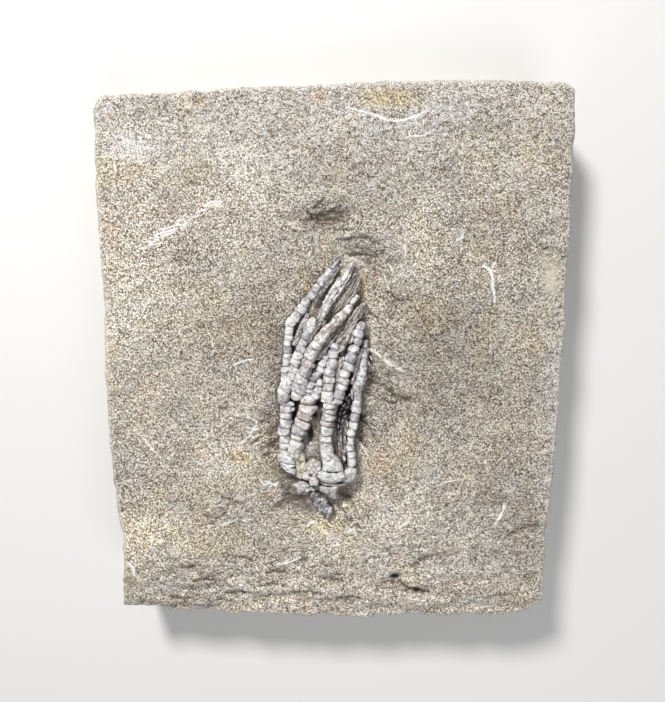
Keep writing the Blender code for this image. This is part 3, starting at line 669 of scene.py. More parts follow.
def rim_and_walls(outer, inner, top):
    """Rings of places and heights: round the rim, down the broken walls and round the foot."""
    tangent = np.roll(outer, -1, axis=0) - np.roll(outer, 1, axis=0)
    outward = np.column_stack([tangent[:, 1], -tangent[:, 0]])
    outward /= np.linalg.norm(outward, axis=1)[:, None]
    for step in range(1, RIM_STEPS + 1):
        angle = math.pi / 2 * step / RIM_STEPS
        yield inner + (outer - inner) * math.sin(angle), top - RIM * (1 - math.cos(angle))
    for level in range(1, WALL_LEVELS + 1):
        share = 1 - level / WALL_LEVELS
        height = FOOT + share * (top - RIM - FOOT)
        strata = 0.22 * noise(0.0, 0.0, height + 0.03 * outer[:, 0], 1.1, 21)
        rough = 0.20 * fractal(outer[:, 0], outer[:, 1], 2.0 * height, 2.2, 22, 3)
        hollow = 0.35 * math.sin(math.pi * share) + 0.25 * (1 - share)
        fade = smooth_step(0.0, 0.15, 1 - share)
        foot = outer - outward * (fade * (hollow + strata + rough))[:, None]
        yield foot, height
    for step in (1, 2):
        angle = math.pi / 4 * step
        yield foot - outward * FOOT * (1 - math.cos(angle)), FOOT * (1 - math.sin(angle))


def matrix_slab(material):
    """The slab: its face as a grid, then rings stitched on round the rim, walls and foot."""
    face = slab_grid(RIM)
    rows, columns = face.shape[:2]
    index = np.arange(rows * columns).reshape(rows, columns)
    x, y = face.reshape(-1, 2).T
    z = surface(x, y)
    border = np.concatenate([index[0, :-1], index[:-1, -1], index[-1, :0:-1], index[:0:-1, 0]])
    quads = np.stack([index[:-1, :-1], index[:-1, 1:], index[1:, 1:], index[1:, :-1]], -1)
    faces = quads.reshape(-1, 4).tolist()
    vertices = [np.column_stack([x, y, z])]
    outer = slab_grid(0.0).reshape(-1, 2)[border]
    above, count, side = border, len(z), len(border)
    for place, height in rim_and_walls(outer, face.reshape(-1, 2)[border], z[border]):
        vertices.append(np.column_stack([place, np.broadcast_to(height, side)]))
        below = count + np.arange(side)
        faces.extend(np.stack([above, below, np.roll(below, -1), np.roll(above, -1)], -1).tolist())
        above = below
        count += side
    faces.append(above[::-1].tolist())
    vertices = np.vstack(vertices)
    values = stone_attributes(vertices[:, 0], vertices[:, 1])
    for key in ("scratch", "groove", "ridge", "bed", "hole_shade", "arm_foot_shade"):
        values[key][len(z):] = 0.0
    # The rim is painted paler: worn edge, and a painted highlight where light catches it.
    rim = np.zeros(len(vertices))
    rim[len(z):len(z) + side * RIM_STEPS] = 1.0
    rim[border] = 0.8
    values["rim"] = rim
    stone = add_piece("stone", vertices, faces, material, values, recalculate=False)
    settle(stone, "siltstone", "matrix_slab")


# ---------------------------------------------------------------- arms
# name: number of plates or the y of every joint between them, options, centre line (x, y, width,
# crest above the face).
# Options: wedge, how far the joints tilt to and fro; spur, how far plates reach out at their
# far end on alternate sides; flare, the same on the left and right of every plate; shade, from
# pale to lavender grey along the arm; tones, the same for each plate; warm, how pinkish; faint,
# how much of the joints still shows; worn, stretches whose plates are broken away, as shares
# of the length.
ARMS = {
    "ray_1": (
        (-19.1, -17.6, -16.1, -14.5, -12.4, -10.9, -9.4),
        dict(wedge=0.06, spur=0.1, tones=(-0.1, 0.1, 0.1, 0.25, 0.4, -0.1, 0.5, 0.7)),
        [(-10.5, -20.3, 2.4, 1.3), (-10.4, -15.5, 2.6, 1.5), (-10.1, -11.8, 2.7, 1.6),
        (-9.9, -8.3, 3.0, 1.9)],
    ),
    "ray_1_fork": (
        2,
        dict(wedge=0.3, shade=(0.0, 0.0)),
        [(-10.6, -9.1, 2.5, 2.0), (-10.7, -6.7, 2.8, 2.6), (-10.1, -5.0, 2.8, 2.5),
        (-9.4, -3.2, 2.5, 2.2)],
    ),
    "arm_1": (
        (-2.4, -0.9, 0.5, 1.9, 3.2, 4.5, 5.7, 7.4, 8.9, 10.3, 11.8, 13.2, 14.7, 16.1, 17.7, 19.4),
        dict(wedge=0.05, spur=0.08, pinch=0.12, tones=(0.5, 0.4, 0.3, 0.2, 0.35, -0.1, 0.15, 0.1, 0.4,
        0.2, 0.3, 0.1, 0.5, 0.3, 0.8, 0.6, 1.0)),
        [(-10.3, -4.2, 1.6, 1.5), (-10.0, -1.2, 1.75, 1.6), (-9.7, 1.5, 1.75, 1.5),
        (-9.4, 5.0, 1.75, 1.5), (-8.9, 8.0, 1.95, 1.7), (-7.8, 9.6, 2.1, 1.9), (-5.4, 12.8, 1.75, 1.5),
        (-3.5, 15.6, 1.5, 1.2), (-1.8, 17.8, 1.25, 1.0), (1.3, 21.4, 0.6, 0.4)],
    ),
    "arm_2": (
        (-4.2, -2.4, -0.8, 0.5, 2.1, 3.4, 4.7, 6.1),
        dict(wedge=0.12, spur=0.14, warm=-0.2, tones=(0.1, 0.0, 0.2, -0.1, -0.1, 0.3, 0.0, 0.6, -0.5)),
        [(-9.0, -4.0, 2.1, 2.4), (-8.0, -0.5, 2.3, 2.6), (-7.0, 2.0, 2.25, 2.5), (-6.0, 4.5, 1.9, 2.3),
        (-4.9, 7.3, 2.0, 2.5), (-4.2, 9.4, 1.6, 2.2)],
    ),
    "arm_3": (
        (-6.3, -4.4, -2.7, -0.8, 0.6, 2.9, 4.4, 5.8, 7.3, 8.9, 10.5, 12.1, 13.4),
        dict(wedge=0.16, spur=0.14, warm=0.3, worn=(0.56, 0.84),
        tones=(0.3, 0.3, 0.0, 0.55, 0.1, 0.0, 0.2, 0.1, 0.3, 0.2, 0.0, 0.2, 0.1, -0.2)),
        [(-7.8, -8.2, 3.0, 3.4), (-7.5, -6.0, 3.3, 3.9), (-6.9, -4.0, 2.9, 3.8), (-5.6, -0.9, 2.8, 3.9),
        (-4.5, 1.8, 2.7, 3.9), (-2.9, 4.8, 2.4, 3.6), (-0.6, 7.3, 2.4, 3.4), (1.2, 9.2, 2.0, 3.0),
        (2.6, 10.7, 1.6, 2.5), (4.2, 12.7, 1.0, 1.7), (5.3, 13.9, 1.1, 1.8)],
    ),
    "ray_2": (
        (-16.6, -15.5, -14.0, -12.1, -10.8, -8.8),
        dict(wedge=0.08, flare=(0.05, 0.46), warm=0.48, tones=(0.1, -0.2, 0.4, -0.3, 0.35, -0.4, 0.2)),
        [(-8.7, -19.9, 2.4, 2.4), (-7.7, -16.0, 2.7, 3.0), (-6.8, -13.6, 3.0, 3.3),
        (-6.2, -11.6, 3.0, 3.6), (-5.5, -9.2, 3.3, 3.6), (-5.1, -6.7, 2.9, 3.3)],
    ),
    "arm_4": (
        9,
        dict(wedge=0.14, spur=0.16, shade=(0.15, 0.35)),
        [(-5.7, -8.0, 2.1, 2.8), (-4.7, -4.5, 2.1, 2.6), (-3.5, -2.2, 1.8, 2.3), (-2.2, 0.0, 1.6, 2.0),
        (-0.8, 2.8, 1.2, 1.6)],
    ),
    "arm_5": (
        3,
        dict(wedge=0.2, shade=(0.1, 0.2)),
        [(-3.9, -8.0, 1.8, 2.8), (-3.2, -5.4, 1.9, 2.6), (-2.7, -3.4, 1.3, 2.0)],
    ),
    "ray_3": (
        (-16.9, -15.4, -13.5, -12.2, -10.7, -9.6, -8.4),
        dict(wedge=0.08, spur=0.14, warm=0.22, tones=(-0.3, 0.35, -0.1, 0.45, -0.1, 0.35, 0.3, -0.3)),
        [(-0.9, -21.3, 2.9, 3.3), (-1.5, -17.0, 2.6, 3.5), (-1.5, -14.8, 2.6, 3.7),
        (-1.1, -11.7, 2.7, 4.0), (-0.6, -7.7, 3.0, 4.1)],
    ),
    "arm_6": (
        (-5.8, -4.2, -2.7, -1.2, 0.9, 2.7),
        dict(wedge=0.07, spur=0.12, tones=(0.1, 0.35, 0.2, 0.4, 0.3, 0.6, 0.75)),
        [(-1.5, -8.5, 2.3, 3.9), (-1.2, -5.2, 2.4, 3.8), (-1.0, -2.9, 2.4, 3.7), (-0.4, -0.3, 2.3, 3.5),
        (0.4, 4.2, 1.4, 2.6)],
    ),
    "arm_7": (
        (-7.5, -5.8, -4.3, -3.2, -1.6, 0.1, 2.0, 3.7, 5.1, 6.8),
        dict(wedge=0.1, spur=0.14, warm=0.2, tones=(0.1, 0.3, 0.2, 0.45, 0.2, 0.2, 0.65, 0.45, 0.3, 0.5,
        0.4)),
        [(0.6, -8.8, 2.2, 3.8), (1.4, -5.8, 2.3, 3.6), (2.3, -3.0, 2.3, 3.3), (3.4, 0.4, 2.2, 3.0),
        (4.6, 3.2, 2.0, 2.7), (6.1, 8.4, 1.7, 1.9)],
    ),
    "ray_4": (
        (-20.8, -19.4, -18.0, -16.2, -14.5, -13.0, -11.0, -9.5),
        dict(wedge=0.06, pinch=0.18, tones=(0.2, 0.0, 0.1, -0.2, 0.1, -0.3, 0.55, 0.4, 0.5)),
        [(3.9, -22.9, 1.9, 1.5), (3.6, -18.8, 1.85, 1.4), (3.7, -16.2, 1.85, 1.4),
        (4.3, -13.5, 1.95, 1.4), (4.9, -9.2, 2.0, 1.5)],
    ),
    "arm_8": (
        8,
        dict(wedge=0.07, pinch=0.05, faint=0.35, shade=(0.5, 0.5)),
        [(4.9, -10.2, 2.1, 1.5), (5.1, -5.3, 2.0, 1.5), (5.9, -3.2, 2.1, 1.5), (6.2, -0.2, 2.0, 1.4),
        (6.8, 4.6, 1.3, 0.8)],
    ),
}
RING_SPACING = 0.075
UPPER_POINTS = 26  # points across the part of a ring that shows
UPPER_FROM, UPPER_TO = math.radians(-20), math.radians(200)
ROOT_DEPTH = 0.7  # how far an arm goes on down into the stone
EQUATOR = 0.42  # share of an arm's height where it is widest
ROUNDNESS = (0.52, 0.88)  # 1 is a round arm, less is flatter on top
PINCH = 0.15  # how much narrower a plate is at its joints
GROOVE_DEPTH = 0.12
GROOVE_WIDTH = 0.13
VALLEY_DEPTH = 0.085  # share of the arm's width
VALLEY_WIDTH = 0.30
WORN_DROP = 0.25
WORN_FADE = 0.04  # share of the arm over which the wear starts and ends
NOT_WORN = (2.0, 3.0)  # a stretch past the arm's end
SIZE_SWING = 0.15  # how much longer every second plate is
SIZE_SPREAD = 0.14
BARREL_POWER = (3, 6.5)  # high is a straight-sided plate with a sudden pinch
END_ROUNDING = 0.30  # share of the width over which an arm's end is rounded
LEAST_HALF_WIDTH = 0.12
ROOT_WIDTH = 0.92


def joint_places(plates, line, length, rng):
    """Lengths along the arm of its ends and joints, from their y or from the number of plates."""
    total = length[-1]
    if isinstance(plates, tuple):
        return np.concatenate([[0.0], np.interp(plates, line[:, 1], length), [total]])
    sizes = 1 + SIZE_SWING * (1 - 2 * (np.arange(plates) % 2))
    sizes = sizes + rng.uniform(-SIZE_SPREAD, SIZE_SPREAD, plates)
    return total * np.concatenate([[0.0], np.cumsum(sizes)]) / sizes.sum()


def worn_share(share, options):
    """1 along the stretch whose plates are broken away, 0 elsewhere."""
    start, stop = options.get("worn", NOT_WORN)
    worn = smooth_step(start - WORN_FADE, start + WORN_FADE, share)
    return worn * smooth_step(stop + WORN_FADE, stop - WORN_FADE, share)


def arm_lumps(x, y, up, length, spread, worn):
    """Uneven surface of the plates, with fibres where they are worn."""
    lumps = 0.14 * noise(x, y, up, 1.2, SEED + 30, True)
    lumps = lumps + 0.16 * noise(x, y, up, 0.66, SEED + 32, True)
    lumps = (1 + 0.5 * worn) * (lumps + 0.10 * noise(x, y, up, 0.34, SEED + 31, True))
    fibres = noise(0.22 * length[:, None], spread, 0.0, 0.34, SEED + 36, True)
    return lumps + 0.26 * worn * fibres


def arm(name, plates, options, points, material):
    """A row of plates lofted as one body, pinched and tilted at every joint."""
    rng = np.random.default_rng(SEED + sum(map(ord, name)))
    line, length = smooth_line(points, RING_SPACING)
    total = length[-1]
    joints = joint_places(plates, line, length, rng)
    plates = len(joints) - 1
    which = np.clip(np.searchsorted(joints, length, "right") - 1, 0, plates - 1)
    local = (length - joints[which]) / (joints[which + 1] - joints[which])
    worn = worn_share(length / total, options)
    # How strongly every ring lies in a joint's groove and in the wider valley round it.
    plain = options.get("faint", 1.0)
    gap = np.abs(length[:, None] - joints[None, 1:-1])
    strength = rng.uniform(0.2, 1.0, plates - 1) ** 1.4
    groove = plain * (strength * np.exp(-((gap / GROOVE_WIDTH) ** 2))).max(1) * (1 - 0.8 * worn)
    valley = plain * np.exp(-((gap / VALLEY_WIDTH) ** 2)).max(1) * (1 - 0.6 * worn)
    # Width of every ring to the left and to the right of the line.
    pinch = options.get("pinch", PINCH) * rng.uniform(0.4, 1.5, (2, plates))
    curve = np.abs(2 * local - 1 + rng.normal(0, 0.12, plates)[which])
    curve = curve ** rng.uniform(*BARREL_POWER, plates)[which]
    barrels = 1 - pinch[:, which] * curve * (1 - 0.7 * worn)
    wide = (1 + rng.normal(0, 0.075, (2, plates)))[:, which]
    raised = rng.normal(0, 0.10, plates)[which] - WORN_DROP * worn
    shift = rng.normal(0, 0.08, plates)[which]
    tilts = options.get("wedge", 0.1) * (1 - 2 * (np.arange(plates + 1) % 2))
    tilts = tilts + rng.normal(0, 0.07, plates + 1)
    skew = tilts[which] * (1 - local) + tilts[which + 1] * local
    end = np.minimum(length, total - length) / (END_ROUNDING * line[:, 2])
    rounding = np.sqrt(1 - (1 - np.clip(end, 0, 1)) ** 2 * 0.9)
    saw = local**1.5 * (1 - np.clip((local - 0.84) / 0.16, 0, 1)) * (1 - 0.6 * worn)
    spur = options.get("spur", 0.06) * rng.uniform(0.4, 1.4, plates)[which]
    odd = which % 2
    flare = np.array(options.get("flare", (0.0, 0.0)))[:, None]
    flare = flare * rng.uniform(0.4, 1.3, plates)[which]
    reach = 1 + (flare + spur * np.array([odd, 1 - odd])) * saw
    half = 0.5 * line[:, 2] * wide * barrels * reach * rounding
    half = np.maximum(half - 0.5 * GROOVE_DEPTH * groove, LEAST_HALF_WIDTH)
    # Cross-section of every ring, with a root that goes down into the stone.
    angle = np.linspace(UPPER_FROM, UPPER_TO, UPPER_POINTS)
    power = rng.uniform(*ROUNDNESS, plates)[which][:, None]
    cross = np.sign(np.cos(angle)) * np.abs(np.cos(angle)) ** power
    lift = np.sign(np.sin(angle)) * np.abs(np.sin(angle)) ** power
    spread = np.where(cross > 0, half[1][:, None], half[0][:, None]) * cross + shift[:, None]
    low = ground(line[:, 0], line[:, 1])
    crest = FACE + line[:, 3] + raised - 0.5 * (1 - barrels.mean(0)) * line[:, 2]
    crest = crest - GROOVE_DEPTH * groove - VALLEY_DEPTH * valley * line[:, 2]
    crest = low + (crest - low) * (0.35 + 0.65 * rounding)
    middle = low + EQUATOR * (crest - low)
    up = middle[:, None] + (crest - middle)[:, None] * lift
    root = ROOT_WIDTH * spread[:, [0, -1]]
    spread = np.concatenate([root[:, :1], spread, root[:, 1:]], 1)
    deep = (low - ROOT_DEPTH)[:, None]
    up = np.concatenate([deep, up, deep], 1)
    # Places of the rings, roughened.
    direction, side = directions(line)
    along = skew[:, None] * spread
    x = line[:, :1] + side[:, :1] * spread + direction[:, :1] * along
    y = line[:, 1:2] + side[:, 1:2] * spread + direction[:, 1:2] * along
    lumps = arm_lumps(x, y, up, length, spread, worn[:, None])
    away = np.clip((spread - shift[:, None]) / (0.5 * line[:, 2:3]), -1, 1)
    up = up + lumps * (1 - 0.6 * away**2)
    x = x + side[:, :1] * lumps * away
    y = y + side[:, 1:2] * lumps * away
    # What the material reads: painted light by height (painted highlight on the crest, painted shade on the
    # sides and in the valleys), shade, joints, dirt and painted shade at the foot, and wear.
    # Painted light: high is lighter on the crest and bumps, and darker on the sides and in the valleys at the
    # joints.
    level = np.zeros((1, 1)).repeat(len(low), 0)
    high = 0.75 * np.concatenate([level, lift, level], 1)
    high = high + 2.6 * lumps - 0.50 * valley[:, None] - 0.20
    shade = np.interp(length / total, [0, 1], options.get("shade", (0.0, 0.1)))
    shade = shade + rng.normal(0, 0.28, plates)[which]
    if "tones" in options:
        shade = np.array(options["tones"])[which]
    # The right-hand side of every plate is made greyer: painted shade.
    shade = shade[:, None] + 0.22 * np.clip(spread / (0.5 * line[:, 2:3]), -1, 1)
    patchy = np.clip(0.75 + 0.9 * noise(x, y, up, 0.7, SEED + 34), 0.0, 1.3)
    edge = np.maximum(groove, 0.35 * valley)[:, None] * patchy
    # Darker near the stone: dirt, and painted shade where the arm meets it.
    foot = 1 - smooth_step(0.0, 1.1, up - low[:, None])
    warm = options.get("warm", 0.1) + 0.7 * worn + rng.normal(0, 0.2, plates)[which]
    rings, sides = x.shape
    parts = Parts()
    parts.add(
        np.stack([x, y, up], -1).reshape(-1, 3), tube_faces(rings, sides),
        groove=edge.reshape(-1), foot=foot.reshape(-1), shade=shade.reshape(-1),
        warm=np.repeat(warm, sides), worn=np.repeat(worn, sides), high=high.reshape(-1),
    )
    parts.make(name + "_plates", material, "pale_calcite", name)


# ---------------------------------------------------------------- cup
# Each plate: outline, crest above the face, slope along x and y, height lost at the rim,
# shade (0 pale to 1 lavender grey), warmth. Neighbours overlap a little, so that their domed
# edges meet in a narrow seam.
CUP_PLATES = [
    # left radial in two courses, with the narrow plate under ray 2 between them
    ([(-12.1, -19.8), (-9.9, -19.5), (-8.2, -21.0), (-8.1, -22.0), (-9.6, -22.0), (-11.9, -21.4)],
     2.0, (0.16, 0.10), 0.55, 0.05, 0.1),
    ([(-11.7, -21.4), (-9.9, -21.9), (-8.0, -22.1), (-7.9, -23.6), (-8.3, -24.5), (-9.9, -24.0),
      (-11.4, -22.9)], 1.6, (0.16, 0.08), 0.55, 0.30, 0.15),
    ([(-9.9, -19.6), (-8.4, -19.4), (-7.7, -20.5), (-7.8, -21.2), (-9.0, -20.7)],
     2.3, (0.0, 0.1), 0.4, 0.0, 0.5),
    ([(-9.9, -18.9), (-8.0, -18.7), (-7.1, -19.6), (-7.4, -20.6), (-8.7, -20.2), (-9.8, -19.7)],
     2.7, (0.0, 0.0), 0.45, 0.0, 0.35),
    # cream and pink plates above the basals
    ([(-6.6, -23.6), (-5.3, -23.5), (-4.9, -24.9), (-5.7, -25.7), (-6.7, -25.2)],
     1.9, (0.0, 0.0), 0.4, 0.0, 0.45),
    ([(-5.4, -24.8), (-3.9, -24.6), (-3.1, -25.5), (-3.2, -26.8), (-5.0, -26.8)],
     2.2, (0.0, 0.12), 0.45, 0.0, 0.6),
    # middle radial: upper trapezoid, lower half, and the slit left between them
    ([(-2.2, -20.6), (-0.9, -21.0), (0.2, -19.7), (1.2, -20.6), (2.0, -22.2), (2.2, -23.3), (-0.4, -23.35),
      (-2.4, -23.1)], 3.2, (-0.08, 0.02), 0.5, 0.0, 0.1),
    ([(-3.2, -23.4), (-1.9, -22.9), (-1.2, -23.55), (0.8, -23.6), (2.2, -23.1), (2.5, -24.4), (1.6, -25.7),
      (-0.6, -26.2), (-2.6, -25.6), (-3.6, -24.6)], 2.9, (0.0, 0.22), 0.6, 0.0, 0.1),
    # right radial in two courses
    ([(2.2, -23.4), (3.6, -22.6), (5.0, -23.2), (4.9, -24.4), (3.4, -24.7), (2.3, -24.3)],
     2.0, (-0.15, 0.1), 0.45, 0.0, 0.65),
    ([(1.6, -24.7), (2.6, -24.2), (4.9, -24.2), (4.8, -25.3), (3.4, -26.4), (1.4, -26.0)],
     1.7, (-0.12, 0.25), 0.5, 0.35, 0.2),
    # layered ledge below the middle radial
    ([(-3.4, -25.9), (-1.4, -26.1), (0.8, -26.4), (3.0, -26.3), (2.6, -27.0), (0.2, -27.0), (-2.4, -26.8)],
     1.5, (0.0, 0.1), 0.45, 0.6, 0.5),
    # left and right basals, with the bar between them
    ([(-8.8, -26.7), (-7.9, -26.5), (-7.2, -25.9), (-6.0, -26.0), (-5.1, -26.9), (-5.3, -28.0), (-6.3, -28.5),
      (-6.9, -29.4), (-7.7, -29.7), (-7.9, -28.6), (-8.1, -27.7)], 0.9, (0.05, 0.50), 0.45, 0.15, 0.45),
    ([(-3.2, -26.9), (-1.2, -27.2), (1.0, -26.9), (1.2, -27.6), (0.7, -28.5), (0.6, -29.6), (0.5, -30.6),
      (-0.5, -30.4), (-1.6, -29.2), (-3.1, -28.3)], 1.0, (-0.05, 0.50), 0.45, 0.45, 0.3),
    ([(-6.0, -27.6), (-4.6, -27.3), (-3.9, -27.4), (-3.9, -28.3), (-5.0, -28.2), (-6.0, -28.6)],
     0.9, (0.0, 0.0), 0.35, 0.4, 0.2),
]
# The plates with a yellow stain, left of the mosaic, in the same form.
STAINED_PLATES = [
    ([(-7.9, -19.3), (-6.7, -18.9), (-6.0, -20.0), (-6.0, -21.4), (-7.0, -21.8), (-8.1, -21.2)],
     1.9, (0.0, 0.1), 0.4, 0.3, 0.0),
    ([(-8.1, -21.1), (-7.0, -21.6), (-5.9, -21.3), (-5.7, -23.2), (-6.6, -23.9), (-7.8, -23.5)],
     2.1, (0.0, 0.0), 0.4, 0.2, 0.0),
    ([(-7.9, -23.4), (-6.7, -23.8), (-6.3, -24.6), (-7.0, -25.6), (-7.9, -24.9)],
     1.7, (0.0, 0.1), 0.4, 0.4, 0.0),
]
MOSAIC_CENTRE = (-4.2, -22.7)
MOSAIC_RADII = (1.75, 1.8)
MOSAIC_PITCH = 0.92
MOSAIC_CREST = 2.4
# Dark slots broken into the cup's plates: half width, depth, points.
SLOTS = [
    (0.13, 0.7, [(-9.9, -19.2), (-9.1, -19.5), (-8.2, -20.0)]), (0.11, 0.6, [(-9.5, -20.2),
    (-8.3, -20.7)]), (0.09, 0.4, [(-11.9, -20.9), (-10.6, -21.3), (-9.9, -21.1)]),
    (0.1, 0.4, [(-11.2, -22.4), (-9.8, -22.9), (-8.2, -22.9)]), (0.09, 0.3, [(-10.8, -19.8),
    (-10.3, -20.8)]), (0.1, 0.35, [(-10.2, -23.2), (-9.2, -23.6)]), (0.09, 0.3, [(0.6, -21.4),
    (1.4, -22.4)]),
]
STEM_LINE = [(-4.6, -28.8, 2.7, 0.35), (-2.5, -31.6, 2.8, 0.25), (-0.4, -34.2, 2.2, -0.1)]
STEM_ROWS = 9
STEM_LENGTH = 7.3
PLATE_RINGS = (
    1.0, 0.985, 0.955, 0.91, 0.86, 0.80, 0.73, 0.66, 0.59,
    0.52, 0.45, 0.38, 0.31, 0.24, 0.16, 0.08,
)
# Small loose plates and broken branches lying among the arms: x, y, length, width, direction in
# degrees, crest above the face, shade, warmth.
BITS = [
    (-7.2, 6.6, 2.6, 0.85, 62, 1.9, 0.4, 0.3), (-6.1, 8.7, 0.7, 0.7, 0, 1.9, 0.1, 0.1),
    (-8.0, 2.0, 0.8, 0.6, 80, 1.6, 0.1, 0.2), (-5.2, 3.0, 1.1, 0.75, 58, 2.7, 0.0, 0.3),
    (-5.8, 1.8, 1.1, 0.7, 60, 2.6, 0.05, 0.3), (-6.3, 0.6, 0.9, 0.6, 62, 2.5, 0.1, 0.3),
    (-4.8, -4.1, 1.3, 0.8, 45, 2.4, 0.7, 0.1), (0.3, 3.6, 1.2, 0.9, 70, 2.9, 0.0, 0.6),
    (0.7, 2.2, 0.9, 0.7, 20, 2.7, 0.1, 0.5), (2.6, 4.6, 1.7, 0.6, 60, 2.3, 0.55, 0.3),
    (3.4, 3.0, 1.6, 0.7, 60, 2.4, 0.35, 0.3), (3.9, 4.8, 1.6, 0.6, 68, 2.2, 0.3, 0.2),
    (1.6, -0.2, 1.9, 0.7, 66, 2.4, 0.5, 0.4), (2.0, 0.9, 0.9, 0.6, 80, 2.5, 0.2, 0.3),
    (0.7, -2.8, 2.2, 0.4, 84, 2.4, 0.6, 1.2), (0.5, -5.2, 2.6, 0.4, 86, 2.6, 0.6, 1.2),
    (3.9, -6.6, 3.0, 0.65, 92, 1.9, 0.5, 0.3), (1.6, 2.9, 2.0, 1.1, 34, 2.7, 0.2, 0.5),
    (4.0, -4.0, 1.9, 1.0, 72, 1.7, 0.3, 0.9), (2.5, -16.9, 2.6, 0.55, 96, 1.5, 0.3, 1.0),
    (2.3, -20.7, 1.2, 0.7, 110, 1.8, 0.1, 1.0), (2.9, -13.2, 1.6, 0.4, 100, 1.5, 0.6, 0.8),
    (-8.5, -10.0, 1.1, 0.8, 30, 2.0, 0.3, 0.2), (-8.6, -14.0, 1.3, 0.6, 80, 1.6, 0.45, 0.3),
    (-7.4, 3.2, 1.4, 0.5, 70, 1.6, 0.8, 0.4), (-6.4, 5.4, 1.5, 0.5, 66, 1.7, 0.7, 0.5),
    (7.4, -0.2, 1.7, 0.35, -66, 0.8, 0.1, 0.9), (7.9, 0.8, 1.4, 0.35, -60, 0.7, 0.2, 0.8),
    (7.2, 2.8, 1.2, 0.35, -70, 0.7, 0.3, 0.6), (6.2, 12.0, 1.6, 0.6, 50, 1.2, 0.5, 0.6),
    (5.4, 10.6, 1.8, 0.6, 46, 1.4, 0.6, 0.8), (-2.0, 8.2, 1.6, 0.6, 55, 1.9, 0.7, 0.3),
]


# The blue-black plates between rays 3 and 4, in the same form.
DARK_BITS = [
    (2.6, -7.6, 1.4, 0.8, 80, 2.0, 0.3, 0.0), (3.3, -6.9, 1.2, 0.6, 60, 1.8, -0.8, 0.0),
    (3.2, -8.3, 1.3, 0.7, 100, 1.8, 0.2, 0.0), (2.2, -9.0, 1.4, 0.6, 50, 2.0, -0.6, 0.0),
    (3.0, -9.6, 1.1, 0.5, 110, 1.6, 0.3, 0.0), (1.7, -10.0, 1.0, 0.6, 30, 2.0, 0.2, 0.0),
    (1.4, -10.9, 1.3, 0.5, 74, 1.9, 0.2, 0.0), (2.3, -10.7, 1.0, 0.5, 60, 1.7, -0.9, 0.0),
    (2.5, -11.6, 0.9, 0.5, 20, 1.5, 0.1, 0.0), (1.2, -12.2, 1.3, 0.5, 84, 1.8, 0.5, 0.0),
    (1.9, -12.6, 1.2, 0.5, 70, 1.6, -0.4, 0.3), (1.0, -13.6, 1.3, 0.5, 92, 1.7, 0.3, 0.0),
    (1.6, -14.2, 1.1, 0.4, 80, 1.5, 0.2, 0.0), (1.2, -15.2, 1.4, 0.5, 96, 1.5, 0.1, 0.2),
]


def closed_curve(points, cut, spacing):
    """A closed smooth curve that keeps near the corners of a polygon."""
    points = np.array(points, float)
    following = np.roll(points, -1, axis=0)
    near = np.stack([(1 - cut) * points + cut * following, cut * points + (1 - cut) * following], 1)
    near = near.reshape(-1, 2)
    dense = spline(np.vstack([near[-1:], near, near[:2]]), 8)
    dense = np.vstack([dense, dense[:1]])
    length = np.concatenate([[0], np.cumsum(np.hypot(*np.diff(dense, axis=0).T))])
    wanted = np.linspace(0, length[-1], int(length[-1] / spacing) + 6)[:-1]
    return np.column_stack([np.interp(wanted, length, column) for column in dense.T])


def plate(
    parts, outline, crest, slope, drop, shade, warm, lumps=0.11, spacing=0.12, cut=0.10, dome=0.6
):
    """A pillow-shaped plate with steep sides, added to parts."""
    outline = closed_curve(outline, cut, spacing)
    centre = outline.mean(0)
    jagged = noise(outline[:, 0], outline[:, 1], crest, 0.6, SEED + 62, True)
    outline = centre + (1.0 + 0.07 * jagged)[:, None] * (outline - centre)
    count = len(outline)
    # Painted light: each plate is lighter in its middle and darker toward its edge, root and foot.
    rings, painted_light_levels, slots = [], [np.full(count, -0.5), np.full(count, -0.3)], [np.zeros(2 * count)]
    for share in PLATE_RINGS:
        place = centre + share * (outline - centre)
        height = FACE + crest + (place - centre) @ np.array(slope) - drop * share**3.2
        height = height - 0.30 * drop * smooth_step(0.93, 1.0, share)
        relief = lumps * noise(place[:, 0], place[:, 1], crest, 1.1, SEED + 61, True)
        relief = relief + lumps * noise(place[:, 0], place[:, 1], crest, 0.5, SEED + 63, True)
        slot, deep = line_mask(*place.T, SLOTS)
        rings.append(np.column_stack([place, height + relief - deep]))
        painted_light_levels.append(0.62 - dome * share**3 + 2.6 * relief)
        slots.append(slot)
    low = ground(outline[:, 0], outline[:, 1])
    skirt = centre + 1.02 * (outline - centre)
    wall = np.column_stack([skirt, rings[0][:, 2] - 0.35])
    root = np.column_stack([skirt, np.minimum(low - ROOT_DEPTH, rings[0][:, 2] - 0.6)])
    rings = [root, wall] + rings
    vertices = np.vstack(rings)
    edge = np.zeros(len(vertices))
    for ring, value in enumerate((1.0, 1.0, 0.95, 0.75, 0.5, 0.25)):
        edge[count * ring:count * (ring + 1)] = value
    edge = np.maximum(edge, np.concatenate(slots))
    foot = 1 - smooth_step(0.0, 1.0, vertices[:, 2] - ground(vertices[:, 0], vertices[:, 1]))
    parts.add(
        vertices, tube_faces(len(rings), count),
        groove=edge, foot=foot, shade=shade, warm=warm, worn=0.0, high=np.concatenate(painted_light_levels),
    )


def polygon(x, y, length, width, turn, corners, rng):
    """Corners of an uneven polygon about a place."""
    angle = 2 * math.pi * (np.arange(corners) + rng.uniform(0, 1)) / corners
    reach = rng.uniform(0.88, 1.1, corners)
    along, across = 0.5 * length * np.cos(angle) * reach, 0.5 * width * np.sin(angle) * reach
    return np.column_stack([
        x + along * math.cos(turn) - across * math.sin(turn),
        y + along * math.sin(turn) + across * math.cos(turn),
    ])


